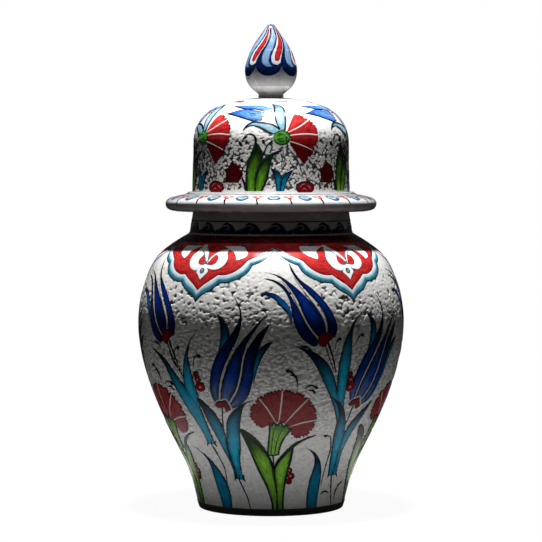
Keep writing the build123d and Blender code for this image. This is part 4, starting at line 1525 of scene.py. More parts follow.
@dataclass(frozen=True)
class DomeFlowers:
    """One unit of the dome: a red fan on a green hub, with leaves and a lying tulip.

    Distances along the wall start at the foot of the dome.
    """

    turns: Turns = (0, 72, 144, 217, 292)
    hoop_at: float = 73.0
    fan: Blades = (
        Blade(((9.7, 36.6), (11.3, 34.6), (11.8, 32.6), (11.5, 29.1)),
              ((13.8, 49.4), (18.4, 48.4), (23, 45.8), (28, 42), (30.6, 36.2), (30.6, 31.6), (28.6, 27),
               (25.4, 21.8), (20.6, 16.6)), 17, 1.3),
    )
    ribs: Strokes = (
        Stroke(((10.3, 36.2), (17.4, 39.8), (24.9, 45.4)), (0.7, 1.2, 1.0)),
        Stroke(((11.8, 34.3), (21, 35.2), (30.6, 34.6)), (0.7, 1.2, 0.9)),
        Stroke(((11.4, 30.7), (18.5, 28.6), (26.4, 25.4)), (0.7, 0.9, 0.5)),
    )
    hub: Dots = (Dot((6.5, 32.9), 5.2, 0.88),)
    hub_spots: Strokes = (
        Stroke(((3.4, 34.6), (5.6, 35.6), (7.4, 34.8)), (0.4, 0.8, 0.3)),
        Stroke(((4.2, 31.6), (6, 32.6), (7.4, 31.8)), (0.4, 0.9, 0.4)),
        Stroke(((8.2, 33.6), (9.6, 32), (9.2, 30.4)), (0.4, 0.9, 0.4)),
        Stroke(((5, 29.9), (6.6, 30.4), (8.2, 29.8)), (0.3, 0.8, 0.3)),
    )
    leaves: Blades = (
        Blade(((5.2, 38.2), (3.3, 42.9), (2.1, 50.7), (1.8, 58.2), (0.3, 62.1)),
              ((8.4, 37.4), (8.9, 44.2), (8.5, 50.9), (6.1, 57.6), (0.3, 62.1))),
        Blade(((1.2, 35.2), (-2.4, 36.9), (-6.1, 39.1), (-9.8, 40.3), (-13.5, 39.8), (-16.6, 38.2)),
              ((5.4, 37.9), (3, 39.9), (-1.2, 41.5), (-6, 42.4), (-11.5, 42.6), (-16.6, 38.2))),
    )
    leaf_rims: Strokes = (
        Stroke(((5.2, 38.3), (3.2, 42.9), (2, 50.7), (1.6, 58), (0, 62.3)), (0.5, 0.9, 1.2, 0.4)),
        Stroke(((8.6, 37.8), (9, 44.2), (8.6, 50.9), (6.2, 57.7), (1.6, 61.6)), (0.8, 0.9, 0.7, 0.4)),
        Stroke(((0.8, 35.2), (-2.6, 36.7), (-6.2, 38.9), (-10, 40.1)), (0.9, 0.8, 0.4)),
        Stroke(((5, 38.1), (-1.2, 41.7), (-6, 42.6), (-11.6, 42.7), (-15, 40.4), (-17, 37.8)),
               (0.5, 0.8, 1.0, 1.1, 0.6)),
    )
    tulip: Blades = (
        Blade(((-29.9, 49.8), (-22.9, 48.3), (-17.3, 46.2), (-12.2, 44.4), (-5.7, 43.9)),
              ((-29.9, 49.8), (-24, 51.8), (-18, 53.9), (-12.3, 53.5), (-3.8, 51))),
        Blade(((-24.8, 59.1), (-20.2, 56.1), (-15.6, 54.6), (-9.8, 54.3), (-3.1, 52)),
              ((-24.8, 59.1), (-18.5, 58.7), (-12.4, 59.7), (-6.7, 59.2), (1.2, 55))),
    )
    tulip_rims: Strokes = (
        Stroke(((-30.2, 49.9), (-22.9, 48), (-17.3, 45.9), (-9, 43.4), (-2.4, 42.4), (1.8, 41.1),
                (4.6, 38.6)), (0.3, 0.8, 0.9, 0.8, 0.6)),
        Stroke(((-25.6, 59.3), (-20.4, 55.7), (-15.6, 54.1), (-9.6, 53.9), (-3.4, 51.4)),
               (0.3, 0.6, 0.9, 0.5)),
        Stroke(((-14, 50.6), (-9.4, 49.4), (-6, 49.6)), (0.3, 0.5, 0.2)),
    )
    dashes: Strokes = (
        Stroke(((-6.4, 44.7), (-4.8, 45.3)), (0.9, 0.5)),
        Stroke(((-5.7, 47.1), (-4.1, 47.2)), (1.0, 0.6)),
        Stroke(((-4.5, 49.4), (-3.1, 48.8)), (1.0, 0.6)),
        Stroke(((-2.4, 51.5), (-1.5, 50.4)), (1.0, 0.6)),
        Stroke(((0.4, 52.3), (0.3, 50.8)), (1.0, 0.5)),
    )
    fringe: Strokes = (
        Stroke(((2.2, 70), (3.4, 67.4), (4.6, 69.8), (5.8, 67.2), (7, 69.6), (8.2, 66.6), (9.4, 69),
                (10.6, 66), (12, 68)), (0.5, 0.9, 0.9, 0.5)),
    )
    green_leaves: Blades = (
        Blade(((-14.6, 0.8), (-15, 11), (-13.5, 18), (-11.2, 24.2), (-9.3, 29.8)),
              ((-9.6, 0.8), (-8.9, 10), (-7, 16), (-6.2, 21.5), (-9.3, 29.8))),
        Blade(((-9.8, 0.8), (-8.9, 10), (-6.8, 15), (-3.8, 19.6), (1, 22.6)),
              ((-6, 0.8), (-3.3, 6.8), (-1.6, 13), (-0.4, 18), (1, 22.6))),
    )
    leaf_lines: Strokes = (
        Stroke(((-14.8, 0.8), (-15.2, 11), (-13.7, 18), (-11, 24.4), (-9.4, 29.6), (-9.8, 33.4),
                (-12, 35.2), (-15.2, 34.8)), (0.8, 1.0, 1.3, 1.9, 1.4, 0.5)),
        Stroke(((-9.4, 30), (-6.4, 25.6), (-5.9, 20.6), (-7.2, 16), (-9.2, 10)), (1.2, 1.3, 1.3, 0.4)),
        Stroke(((-8.4, 12), (-6, 17), (-2.4, 21.2), (2, 23.4), (6.6, 25.2)), (0.6, 1.2, 1.7, 0.6)),
        Stroke(((4.4, 25), (0.6, 21.4), (-1.2, 15), (-3, 6.8), (-5.7, 0.8)), (0.4, 1.5, 1.2, 0.9)),
        Stroke(((1.2, 31.2), (-2, 28.4), (-4.6, 23), (-6.2, 19)), (0.8, 0.9, 0.8)),
    )
    foot_leaves: Blades = (
        Blade(((3.3, 0.8), (2.7, 4.5), (1.7, 9.3), (-0.5, 15)),
              ((5.8, 0.8), (6.2, 5), (6.6, 9.4), (-0.5, 15))),
        Blade(((5.4, 0.8), (6, 5), (6.9, 9.6), (14, 13.9)),
              ((8, 0.8), (9.2, 5), (11.4, 9.4), (14, 13.9))),
    )
    flowers: Blades = (
        Blade(((-24.6, 20.6), (-25.8, 17.4), (-27.4, 15.2), (-31, 13.8), (-31, 13.8), (-28.9, 11.2),
               (-28.8, 9), (-30, 6), (-30, 6), (-27, 6.9), (-24.2, 6.2)),
              ((-24.6, 20.6), (-22.9, 18.2), (-21, 16.8), (-18.6, 14.4), (-18.6, 14.4), (-17.1, 11.6),
               (-18.2, 8.8), (-19.9, 5.6), (-19.9, 5.6), (-21.8, 6.7), (-24.2, 6.2)), 8, 0.7),
    )
    stems: Strokes = (
        Stroke(((-18.2, 9.6), (-16.8, 6.4), (-15.6, 0.9)), (0.6, 1.5, 1.1)),
        Stroke(((-4.8, 31.8), (-4.6, 29.2)), (0.9, 1.7, 0.6)),
        Stroke(((-14.6, 34.4), (-17.6, 31.6)), (0.5, 1.2, 0.4)),
        Stroke(((-20.2, 30.6), (-17.8, 27.6)), (0.5, 1.7, 0.5)),
    )
    tendrils: Strokes = (
        Stroke(((6.8, 28.4), (7.4, 23.6), (6.6, 17.6), (6.8, 11.6)), (0.4, 0.8, 0.4)),
        Stroke(((8.4, 27.4), (14, 22.8), (18.2, 15.4), (20.2, 8.2)), (0.4, 0.8, 0.4)),
    )
    berries: Dots = (Dot((21.4, 2.9), 5.9, 0.62),)
    berry_glints: Strokes = (
        Stroke(((18, 3), (19.4, 4.8), (21.6, 5)), (0.4, 0.8, 0.3)),
        Stroke(((22.6, 4), (24.2, 3.4), (25, 2)), (0.4, 0.8, 0.3)),
        Stroke(((19.4, 1.2), (20.8, 2.4), (22.4, 1.4)), (0.3, 0.7, 0.3)),
    )
    berry_lines: Dots = (Dot((21.4, 2.9), 6.3, 0.62, line=0.8), Dot((20.6, 2.6), 1.5, 0.8, line=0.4))


@dataclass(frozen=True)
class BrimFlorets:
    """Twenty little blue florets on the brim, with a red dot and a dash between them.

    Distances along the wall are negative, from the ledge under the dome outward.
    """

    count: int = 20
    floret: Strokes = (
        Stroke(((-3, -7.1), (-1.4, -5.1), (1.2, -5), (3, -6.9)), (0.7, 1.5, 1.6, 0.7)),
        Stroke(((-3.2, -7.8), (-2.7, -10.6), (0, -12.2), (2.7, -10.8), (3.3, -8)), (1.0, 2.0, 2.2, 1.1)),
    )
    floret_heart: Dots = (Dot((0.1, -8.3), 1.7, 1.1),)
    dot: Dots = (Dot((-1.9, -6.8), 1.5), Dot((1.6, -6.2), 1.4), Dot((0, -9.8), 1.5))
    dash: Strokes = (Stroke(((-0.3, -11.6), (0.5, -15.6)), (1.5, 0.8)),)


@dataclass(frozen=True)
class KnobLobes:
    """Six lobes that swirl up the knob, each drawn as (degrees, distance up the knob)."""

    count: int = 6
    first: float = -6.0  # degrees from the front to the first lobe's middle
    twist: float = 32.0  # degrees that a lobe turns on its way up
    twist_over: Point = (23.0, 42.0)
    under_tip: float = 0.8  # how far below the very tip every shape ends
    navy: Edges = (
        ((-30.5, 20.4), (-24, 17), (-13, 14.6), (0, 13.9), (13, 14.6), (24, 17), (30.5, 20.4)),
        ((-30.5, 22), (-24, 22), (-13, 22), (0, 22), (13, 22), (24, 22), (30.5, 22)),
    )
    navy_top: Edges = (
        ((-30.5, 21.6), (-30.5, 30), (-30.5, 38), (-30.5, 45), (-30.5, 60)),
        ((30.5, 21.6), (30.5, 30), (30.5, 38), (30.5, 45), (30.5, 60)),
    )
    # Painted shade: the grey band on the bulb under the lobes.
    lower_shade: Edges = (
        ((-30.5, 7), (-30.5, 10), (-30.5, 14), (-30.5, 21.5)),
        ((30.5, 7), (30.5, 10), (30.5, 14), (30.5, 21.5)),
    )
    powder: Edges = (
        ((12, 19.6), (-4, 19), (-14, 20.8), (-19, 25), (-26, 33), (-27, 40), (-27.5, 47.5), (-28, 60)),
        ((14, 20.2), (6, 21), (2, 23.4), (0.5, 27), (-2, 33), (-1, 40), (0.5, 47.5), (1, 60)),
    )
    white: Edges = (
        ((20, 20.6), (10, 21.4), (5.4, 24.6), (3, 29), (1.2, 34), (2, 41), (2, 48), (2, 60)),
        ((20, 20.6), (27, 21.6), (30, 25), (29.4, 29), (28, 34), (25.4, 41), (22, 48), (20, 60)),
    )
    red: Edges = (
        ((20.6, 22.8), (15, 23.8), (12.6, 26), (9, 30), (6.8, 35), (6.6, 41), (7, 48), (8, 60)),
        ((20.6, 22.8), (25.6, 23.8), (27.2, 26), (27.2, 30), (25.6, 35), (22, 41), (18, 48), (16, 60)),
    )
    tip_cap: Edges = (
        ((-30.5, 49.2), (-30.5, 49.8), (-30.5, 50.4), (-30.5, 51)),
        ((30.5, 49.2), (30.5, 49.8), (30.5, 50.4), (30.5, 51)),
    )

    def swirled(self, line: Line, wall: Profile) -> Line:
        """The line put on the wall: x is the angle, plus the twist eased in over its range,
        times the radius there. It stops just under the tip."""
        highest = float(wall.s[-1]) - self.under_tip
        out = []
        for turn, s in line:
            s = min(s, highest)
            eased = float(smoothstep(*self.twist_over, np.asarray(s)))
            out.append((math.radians(turn + self.twist * eased) * wall.radius_at(s), s))
        return tuple(out)

    def blade(self, edges: Edges, wall: Profile) -> Blade:
        """The shape between two swirled edges."""
        return Blade(*(self.swirled(line, wall) for line in edges))


# ---------------------------------------------------------------- sub-assemblies


class Section(Enum):
    """The glazed sections: the body that each moves with, and a material slot name that nothing uses."""

    BODY = ("jar", "body_glaze")
    NECK = ("jar", "neck_glaze")
    BRIM = ("lid", "brim_glaze")
    DOME = ("lid", "dome_glaze")
    KNOB = ("lid", "knob_glaze")


def finish_piece(
    piece: bpy.types.Object, finish: Paint | Ground, section: Section, *stands_for: str
) -> None:
    """Dresses a piece, seats it on its body and reports it.

    Args:
        piece: the new piece.
        finish: its material.
        section: where it belongs.
        stands_for: CAD nodes that it replaces.
    """
    body, slot = section.value
    dress(piece, finish)
    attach(piece, body)
    if stands_for:
        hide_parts(*stands_for)
    LOG.info("%s: %d faces, %s", piece.name, len(piece.data.polygons), finish.value.name)


def outside_rows(profile: Profile, first: float, last: float, step: float, sink: float) -> np.ndarray:
    """Rows of a shell's outside, evenly spaced along its wall and sunk below the outline.

    Returns:
        (N, 3) radius, height and distance along the wall.
    """
    s = np.linspace(first, last, max(2, round((last - first) / step) + 1))
    r, z = profile.point(s, np.full(len(s), -sink))
    return np.stack([r, z, s], axis=1)


def inside_rows(profile: Profile, first: float, last: float, count: int) -> np.ndarray:
    """Rows of a shell's inside, (count, 2) as radius and height, on the outline itself."""
    s = np.linspace(first, last, count)
    return np.stack(profile.point(s, np.zeros(count)), axis=1)


def heights(node: str) -> tuple[float, float]:
    """The lowest and the highest z of a CAD node, in millimetres."""
    low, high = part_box(node)
    return low.z / MM, high.z / MM


def level_with(values: np.ndarray, height: float) -> np.ndarray:
    """Which values are at a height, within a hundredth of a millimetre."""
    return np.isclose(values, height, atol=0.01)


ANY_SLOPE = 1.1  # with this as wall_points' flattest, a wall's flats are kept too
SECTORS = tuple(30.0 * k for k in range(12))  # turns of the twelve strokes of a painted hoop


def hoops(
    profile: Profile, width: float, *at: float, half_turn: float = 15.2, level: float | None = None
) -> Strokes:
    """One of the twelve strokes of each line round a wall.

    Args:
        profile: the wall's outline.
        width: of the lines, in millimetres.
        at: each line's distance along the wall.
        half_turn: how far a stroke reaches to either side, in degrees.
        level: distance along the wall where that reach is measured, if not at the first line.
    """
    reach = math.radians(half_turn) * profile.radius_at(at[0] if level is None else level)
    return tuple(Stroke(((-reach, s), (0, s), (reach, s)), (width, width)) for s in at)


@dataclass(frozen=True)
class Brush:
    """Paints coats on one section, each coat as one piece.

    Attributes:
        wall: what is painted on.
        section: where the pieces belong.
        step: spacing of points along the shapes, in millimetres.
        crown: how much the middle of a shape stands above its edges, in millimetres.
    """

    wall: Wall
    section: Section
    step: float = 1.0
    crown: float = 0.03

    def paint(
        self, name: str, layer: Layer, paint: Paint, *groups: Group, one_sided: bool = False
    ) -> None:
        """One coat: every group's shapes, once at each of the group's turns."""
        coat = Coat(name, self.wall, layer, self.step, self.crown, one_sided)
        for shapes, turns in groups:
            coat.add(shapes, turns)
        finish_piece(coat.piece(), paint, self.section)

    def paint_all(self, turns: Turns, *coats: tuple[str, Layer, Paint, Sequence[Shape]]) -> None:
        """Several coats, all at the same turns."""
        for name, layer, paint, shapes in coats:
            self.paint(name, layer, paint, (shapes, turns))


@dataclass
class JarBody:
    """The body of the jar: three stacked closed shells with a hammered outside.

    Attributes:
        sink: how far the pebbles' tops lie inside the CAD's outline, in millimetres.
        foot_length: distance along the wall that the foot ring takes up, in millimetres.
        heart: radius and height of a place inside the hollow.
        cuts: distances along the wall where one shell ends and the next begins.
        columns: points round each ring.
        step: spacing of the rings outside, in millimetres.
        wall_steps: rings on the inside of each shell.
        hammering: the relief.
    """

    sink: float = 0.3
    foot_length: float = 4.7
    heart: Point = (0.0, 90.0)
    cuts: tuple[float, ...] = (52.0, 98.0, 143.0)
    columns: int = 920
    step: float = 0.58
    wall_steps: int = 8
    # The hammering also darkens the ground's colour in its pits and ripples: painted shade.
    hammering: Hammering = Hammering(
        cell=2.3, squat=1.1, depth=0.42, pits=(0.62, 0.86), seams=0.05, seam_width=0.2,
        rounding=0.34, painted_shade=0.75, reach=(2.0, 14.0, 136.0, 174.0), ripples=(106.0, 140.0),
        ripple_shade=0.5, seed=11,
    )

    def __post_init__(self) -> None:
        """Finds the walls of the CAD's body."""
        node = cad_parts["jar_body"]
        outer = wall_points(node, Side.OUTER, self.heart, 0.97)
        self.profile = Profile(outer, self.foot_length)
        self.inside = Profile(wall_points(node, Side.INNER, self.heart, 0.999))
        self.wall = Wall(self.profile, self.sink)
        self.last = float(self.profile.s[-1])

    def build(self) -> None:
        """Builds the stacked shells. The lowest has the floor, with the axis closing it."""
        ends = (float(self.profile.s[0]), *self.cuts, self.last)
        top_z, base_z = float(self.profile.z[-1]), float(self.profile.z[0])
        floor_z = float(self.inside.z[0])
        for number, (first, last) in enumerate(zip(ends, ends[1:])):
            rows = outside_rows(self.profile, first, last, self.step, self.sink)
            high = top_z if last == self.last else rows[-1, 1]
            low = floor_z if number == 0 else rows[0, 1]
            ends_in = self.inside.along(high), self.inside.along(low)
            back = inside_rows(self.inside, *ends_in, self.wall_steps)
            if number == 0:
                floor = [[back[-1, 0] * 0.5, floor_z], [0, floor_z]]
                base = np.array([[0, base_z, first], [rows[0, 0] * 0.5, base_z, first]])
                rows, back = np.vstack([base, rows]), np.vstack([back, floor])
            shell = TurnedShell(rows, back, self.columns, self.hammering)
            piece = shell.build(f"body_section_{number + 1}")
            finish_piece(piece, Ground.HAMMERED, Section.BODY, "jar_body")


@dataclass
class Neck:
    """The neck: a smooth shell, its scroll band and its black line.

    Attributes:
        sink: how far the glaze lies inside the CAD's outline, in millimetres.
        columns: points round each ring.
        scroll_count: repeats of the running scroll.
        scroll_from: height of the scroll's foot above the neck's foot, in millimetres.
        scroll_height: height of the scroll.
        line_gaps: how far its two lines lie below and above it.
        line_level: distance along the wall where the lines' strokes are measured.
    """

    sink: float = 0.15
    columns: int = 256
    scroll_count: int = 20
    scroll_from: float = 2.4
    scroll_height: float = 6.2
    line_gaps: Point = (0.4, 0.7)
    line_level: float = 9.4

    def __post_init__(self) -> None:
        """Finds the walls of the CAD's neck."""
        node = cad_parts["neck_collar"]
        self.low_z, self.high_z = heights("neck_collar")
        self.middle_z = (self.low_z + self.high_z) / 2
        upright = 0.9
        self.profile = Profile(wall_points(node, Side.OUTER, (0.0, self.middle_z), upright))
        inner = wall_points(node, Side.INNER, (0.0, self.middle_z), upright)
        self.bore = float(inner[:, 0].mean())

    def build(self) -> None:
        """Builds the shell: outside, the flat lip, the bore and the flat foot."""
        rows = outside_rows(self.profile, 0.0, float(self.profile.s[-1]), 0.8, self.sink)
        rows[0, 1], rows[-1, 1] = self.low_z, self.high_z
        lip = (rows[-1, 0] + self.bore) / 2
        back = [(lip, self.high_z)]
        back += [(self.bore, z) for z in (self.high_z, self.middle_z, self.low_z)]
        back += [(lip, self.low_z)]
        piece = TurnedShell(rows, np.array(back), self.columns).build("neck_collar_glazed")
        finish_piece(piece, Ground.SMOOTH, Section.NECK, "neck_collar")
        self._paint()

    def _paint(self) -> None:
        """The navy running scroll: a rounded wave for each repeat, with a curl inside."""
        wall = Wall(self.profile, self.sink, root=0.4, wander=0.0)
        pitch = 2 * math.pi * self.profile.radius_at(5.0) / self.scroll_count
        foot, top = self.scroll_from, self.scroll_from + self.scroll_height
        middle = (foot + top) / 2
        turns = [360.0 / self.scroll_count * k + 2.0 for k in range(self.scroll_count)]
        quarters = [pitch * k / 4 for k in (-2, -1, 0, 1, 2)]
        crest = ((quarters[0], foot + 1.2), (quarters[1], middle), (0.6, top),
                 (quarters[3], top - 0.7), (quarters[4], foot + 1.2))
        wave = Blade(tuple((x, foot) for x in quarters), crest)
        curl = Stroke(
            ((-0.34 * pitch, foot + 1.3), (-0.1 * pitch, middle + 0.9), (0.14 * pitch, middle + 1.1),
             (0.2 * pitch, middle - 0.6), (0.06 * pitch, middle - 1.0)),
            (0.3, 0.7, 0.7, 0.5),
        )
        at = foot - self.line_gaps[0], top + self.line_gaps[1]
        lines = hoops(self.profile, 0.7, *at, half_turn=15.0, level=self.line_level)
        brush = Brush(wall, Section.NECK)
        brush.paint("neck_scroll", Layer.WASH, Paint.NAVY_BLUE, ((wave,), turns))
        brush.paint("neck_scroll_curls", Layer.LINE, Paint.WHITE_LINE, ((curl,), turns))
        brush.paint("neck_lines", Layer.OVER, Paint.INK_LINE, (lines, SECTORS))


@dataclass
class Garden:
    """The painted garden on the body, coat by coat, from the ground up."""

    wall: Wall
    leaning: LeaningTulip = LeaningTulip()
    bowing: BowingTulip = BowingTulip()
    carnation: Carnation = Carnation()
    upper: UpperLeaves = UpperLeaves()
    lower: LowerLeaves = LowerLeaves()
    clump: LeafClump = LeafClump()
    small: SmallGrowth = SmallGrowth()

    def build(self) -> None:
        """Paints every coat."""
        brush = Brush(self.wall, Section.BODY)
        self._leaves(brush)
        self._carnations(brush)
        self._tulips(brush)
        self._small_growth(brush)

    def _leaves(self, brush: Brush) -> None:
        """The dark and turquoise leaves, their claws, and every thin stem."""
        low, high, clump, small = self.lower, self.upper, self.clump, self.small
        dark = (small.dark_leaves, small.leaf_turns), (clump.dark_leaf, clump.turns)
        brush.paint("dark_leaves", Layer.WASH, Paint.SEA_LEAF, *dark)
        brush.paint("back_leaves", Layer.UNDER, Paint.TURQUOISE, (clump.tall_leaves, clump.turns))
        stems = [(small.stems, small.stem_turns), (clump.stems, clump.turns)]
        stems += [(m.stems, m.turns) for m in (self.leaning, self.bowing, self.carnation)]
        brush.paint("thin_stems", Layer.UNDER, Paint.INK_LINE, *stems)
        leaves = [(m.leaves, m.turns) for m in (low, high, clump)]
        brush.paint("turquoise_leaves", Layer.WASH, Paint.TURQUOISE, *leaves)
        claws = [(m.stubs, m.turns) for m in (low, high, clump)]
        brush.paint("leaf_stubs", Layer.OVER, Paint.INK_LINE, *claws)

    def _carnations(self, brush: Brush) -> None:
        """The carnations with their calyces and green leaves."""
        pink = self.carnation
        fine = Brush(self.wall, Section.BODY, step=0.4)
        edges = (pink.leaf_lines, pink.turns), (pink.calyx_lines, pink.turns)
        brush.paint("green_leaves", Layer.WASH, Paint.GREEN, (pink.leaves, pink.turns))
        brush.paint("green_calyces", Layer.WASH, Paint.CALYX_GREEN, (pink.calyx, pink.turns))
        brush.paint("green_leaf_edges", Layer.LINE, Paint.DARK_GREEN, *edges)
        fine.paint("carnation_fans", Layer.OVER, Paint.CARNATION_RED, (pink.fan, pink.turns))
        brush.paint("carnation_ribs", Layer.TOP, Paint.WHITE_LINE, (pink.ribs, pink.turns))

    def _tulips(self, brush: Brush) -> None:
        """Both kinds of tulip, with white gaps between their petals."""
        lean, bow = self.leaning, self.bowing
        brush.paint_all(
            lean.turns,
            ("leaning_side_petals", Layer.UNDER, Paint.SEA_LEAF, lean.side_petals),
            ("leaning_tulips", Layer.WASH, Paint.COBALT, lean.petals),
        )
        brush.paint_all(
            bow.turns,
            ("bowing_side_petals", Layer.UNDER, Paint.SKY_BLUE, bow.side_petals),
            ("bowing_tulips", Layer.WASH, Paint.ROYAL_BLUE, bow.petals),
        )
        gaps = (lean.gaps, lean.turns), (bow.gaps, bow.turns), (lean.calyx_rim, lean.turns)
        brush.paint("petal_gaps", Layer.LINE, Paint.WHITE_LINE, *gaps)
        calyces = (lean.calyx, lean.turns), (bow.calyx, bow.turns)
        brush.paint("tulip_calyces", Layer.LINE, Paint.DARK_RED, *calyces)

    def _small_growth(self, brush: Brush) -> None:
        """Commas, hooks and berries between the flowers."""
        small, clump = self.small, self.clump
        commas = (
            (small.commas, small.turns), (clump.commas, clump.turns),
            (small.hooks, small.hook_turns), (small.high_hooks, small.high_hook_turns),
        )
        heads = (
            (small.comma_heads, small.turns), (clump.comma_heads, clump.turns),
            (small.hook_heads, small.hook_turns), (small.high_hook_heads, small.high_hook_turns),
        )
        brush.paint("comma_buds", Layer.OVER, Paint.INK_LINE, *commas)
        brush.paint("comma_heads", Layer.LINE, Paint.INK_LINE, *heads)
        brush.paint_all(
            small.turns,
            ("berries", Layer.LINE, Paint.DARK_RED, small.berries),
            ("low_berries", Layer.TOP, Paint.DARK_RED, small.solid_berries),
            ("berry_hearts", Layer.TOP, Paint.ROSE, small.berry_hearts),
        )


@dataclass
class Shoulder:
    """The red cartouches round the shoulder, with their turquoise and white borders."""

    wall: Wall
    design: Cartouches = Cartouches()

    def radial(self, line: Line, s: float) -> Line:
        """The same line moved straight up the wall to one distance, corners kept."""
        radius_at = self.wall.profile.radius_at
        to = radius_at(s)
        return tuple((x * to / radius_at(at), s) for x, at in line)

    def band(self) -> Blade:
        """A fifth of the dark red band round the top of the shoulder, with a small overlap: painted
        shadow of the brim.
        """
        foot_s = self.design.shadow_band_foot
        half = 1.02 * math.pi / UNITS * self.wall.profile.radius_at(foot_s)
        foot = tuple((half * k / 4, foot_s) for k in range(-4, 5))
        return Blade(self.radial(foot, self.design.top), foot)

    def build(self) -> None:
        """Paints the borders, the red, a dark red band of painted shadow under the brim, and the white
        scrolls on it.
        """
        d = self.design
        red, white, band = (d.halves(e) for e in (d.red_edge, d.band_white_edge, d.band_edge))
        borders = (
            ("cartouche_turquoise", Paint.BAND_TURQUOISE, Blade(white, band)),
            ("cartouche_white", Paint.BAND_WHITE, Blade(red, white)),
        )
        brush = Brush(self.wall, Section.BODY)
        for name, paint, border in borders:
            # The borders darken along their lower edge only: partly edge colour, partly painted shade of
            # the raised band.
            brush.paint(name, Layer.UNDER, paint, ((border,), d.turns), one_sided=True)
        scrolls = d.scrolls + d.drop + d.thumbs + d.flecks
        brush.paint_all(
            d.turns,
            ("cartouche_red", Layer.WASH, Paint.RED, (Blade(self.radial(red, d.top), red),)),
            # Painted shadow: a dark red band where the brim shades the top of the shoulder.
            ("shoulder_painted_shadow", Layer.LINE, Paint.DEEP_RED, (self.band(),)),
            ("cartouche_scrolls", Layer.LINE, Paint.SCROLL_WHITE, scrolls),
            ("cartouche_stems", Layer.OVER, Paint.SCROLL_WHITE, d.stems),
            ("cartouche_crescents", Layer.TOP, Paint.BAND_TURQUOISE, d.crescents),
            ("cartouche_lines", Layer.TOP, Paint.GREY_LINE, d.scroll_lines),
            ("cartouche_rings", Layer.TOP, Paint.INK_TEAL, d.ring),
            ("cartouche_ring_hearts", Layer.TOP, Paint.FLORET_PALE, d.ring_heart),
        )


@dataclass
class Brim:
    """The brim of the lid, a closed ring, and its painted lines and florets.

    Attributes:
        sink: how far the glaze lies inside the CAD's outline, in millimetres.
        columns: points round each ring.
        middle: how far outside the dome the middle of the ring's section lies.
        under_rim: how far the outside reaches in under the rim; the rest is the flat seat.
    """

    sink: float = 0.12
    columns: int = 360
    middle: float = 3.0
    under_rim: float = 6.0
    florets: BrimFlorets = BrimFlorets()

    def build(self) -> None:
        """Builds the ring from the seat, round the rim and up to the ledge, then back under
        the dome and down the throat."""
        seat_z, ledge_z = heights("lid_brim")
        dome_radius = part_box("lid_dome")[1].x / MM
        centre = (dome_radius + self.middle, (seat_z + ledge_z) / 2)
        ring = wall_points(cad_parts["lid_brim"], Side.OUTER, centre, ANY_SLOPE)
        radius, z = ring.T
        on_ledge = level_with(z, ledge_z)
        corner = radius[on_ledge].max()
        on_seat = level_with(z, seat_z) & (radius < radius.max() - self.under_rim)
        outer = ring[(radius > corner + 0.1) & ~on_seat]
        profile = Profile(outer)
        length = float(profile.s[-1])
        rows = outside_rows(profile, 0.0, length, 0.5, self.sink)
        rows[0, 1] = seat_z
        throat, bore = float(radius.min()), float(radius[on_ledge].min())
        throat_z = float(z[level_with(radius, throat)].max())
        back = (
            (corner, ledge_z), ((corner + bore) / 2, ledge_z), (bore, ledge_z),
            (throat, throat_z), (throat, seat_z), ((throat + rows[0, 0]) / 2, seat_z),
        )
        piece = TurnedShell(rows, np.array(back), self.columns).build("lid_brim_glazed")
        # The brim wears the darker copy of the white glaze: painted shade.
        finish_piece(piece, Ground.BRIM, Section.BRIM, "lid_brim")
        self._paint(Wall(Profile(outer, -length), self.sink, root=0.4, wander=0.15))

    def _paint(self, wall: Wall) -> None:
        """Lines round the ledge, and the ring of florets, dots and dashes."""
        f = self.florets
        pitch = 360.0 / f.count
        on = [pitch * k + 1.5 for k in range(f.count)]
        off = [turn + pitch / 2 for turn in on]
        brush = Brush(wall, Section.BRIM, step=0.5, crown=0.0)
        ledge = hoops(wall.profile, 0.8, -0.5), hoops(wall.profile, 0.3, -3.4)
        brush.paint("brim_line", Layer.LINE, Paint.INK_LINE, (ledge[0], SECTORS))
        brush.paint("brim_thin_line", Layer.WASH, Paint.GREY_LINE, (ledge[1], SECTORS))
        brush.paint("brim_florets", Layer.WASH, Paint.FLORET_BLUE, (f.floret, on))
        brush.paint("brim_floret_hearts", Layer.UNDER, Paint.FLORET_PALE, (f.floret_heart, on))
        brush.paint("brim_dots", Layer.WASH, Paint.CORAL, (f.dot, off))
        brush.paint("brim_dashes", Layer.WASH, Paint.INK_LINE, (f.dash, off))


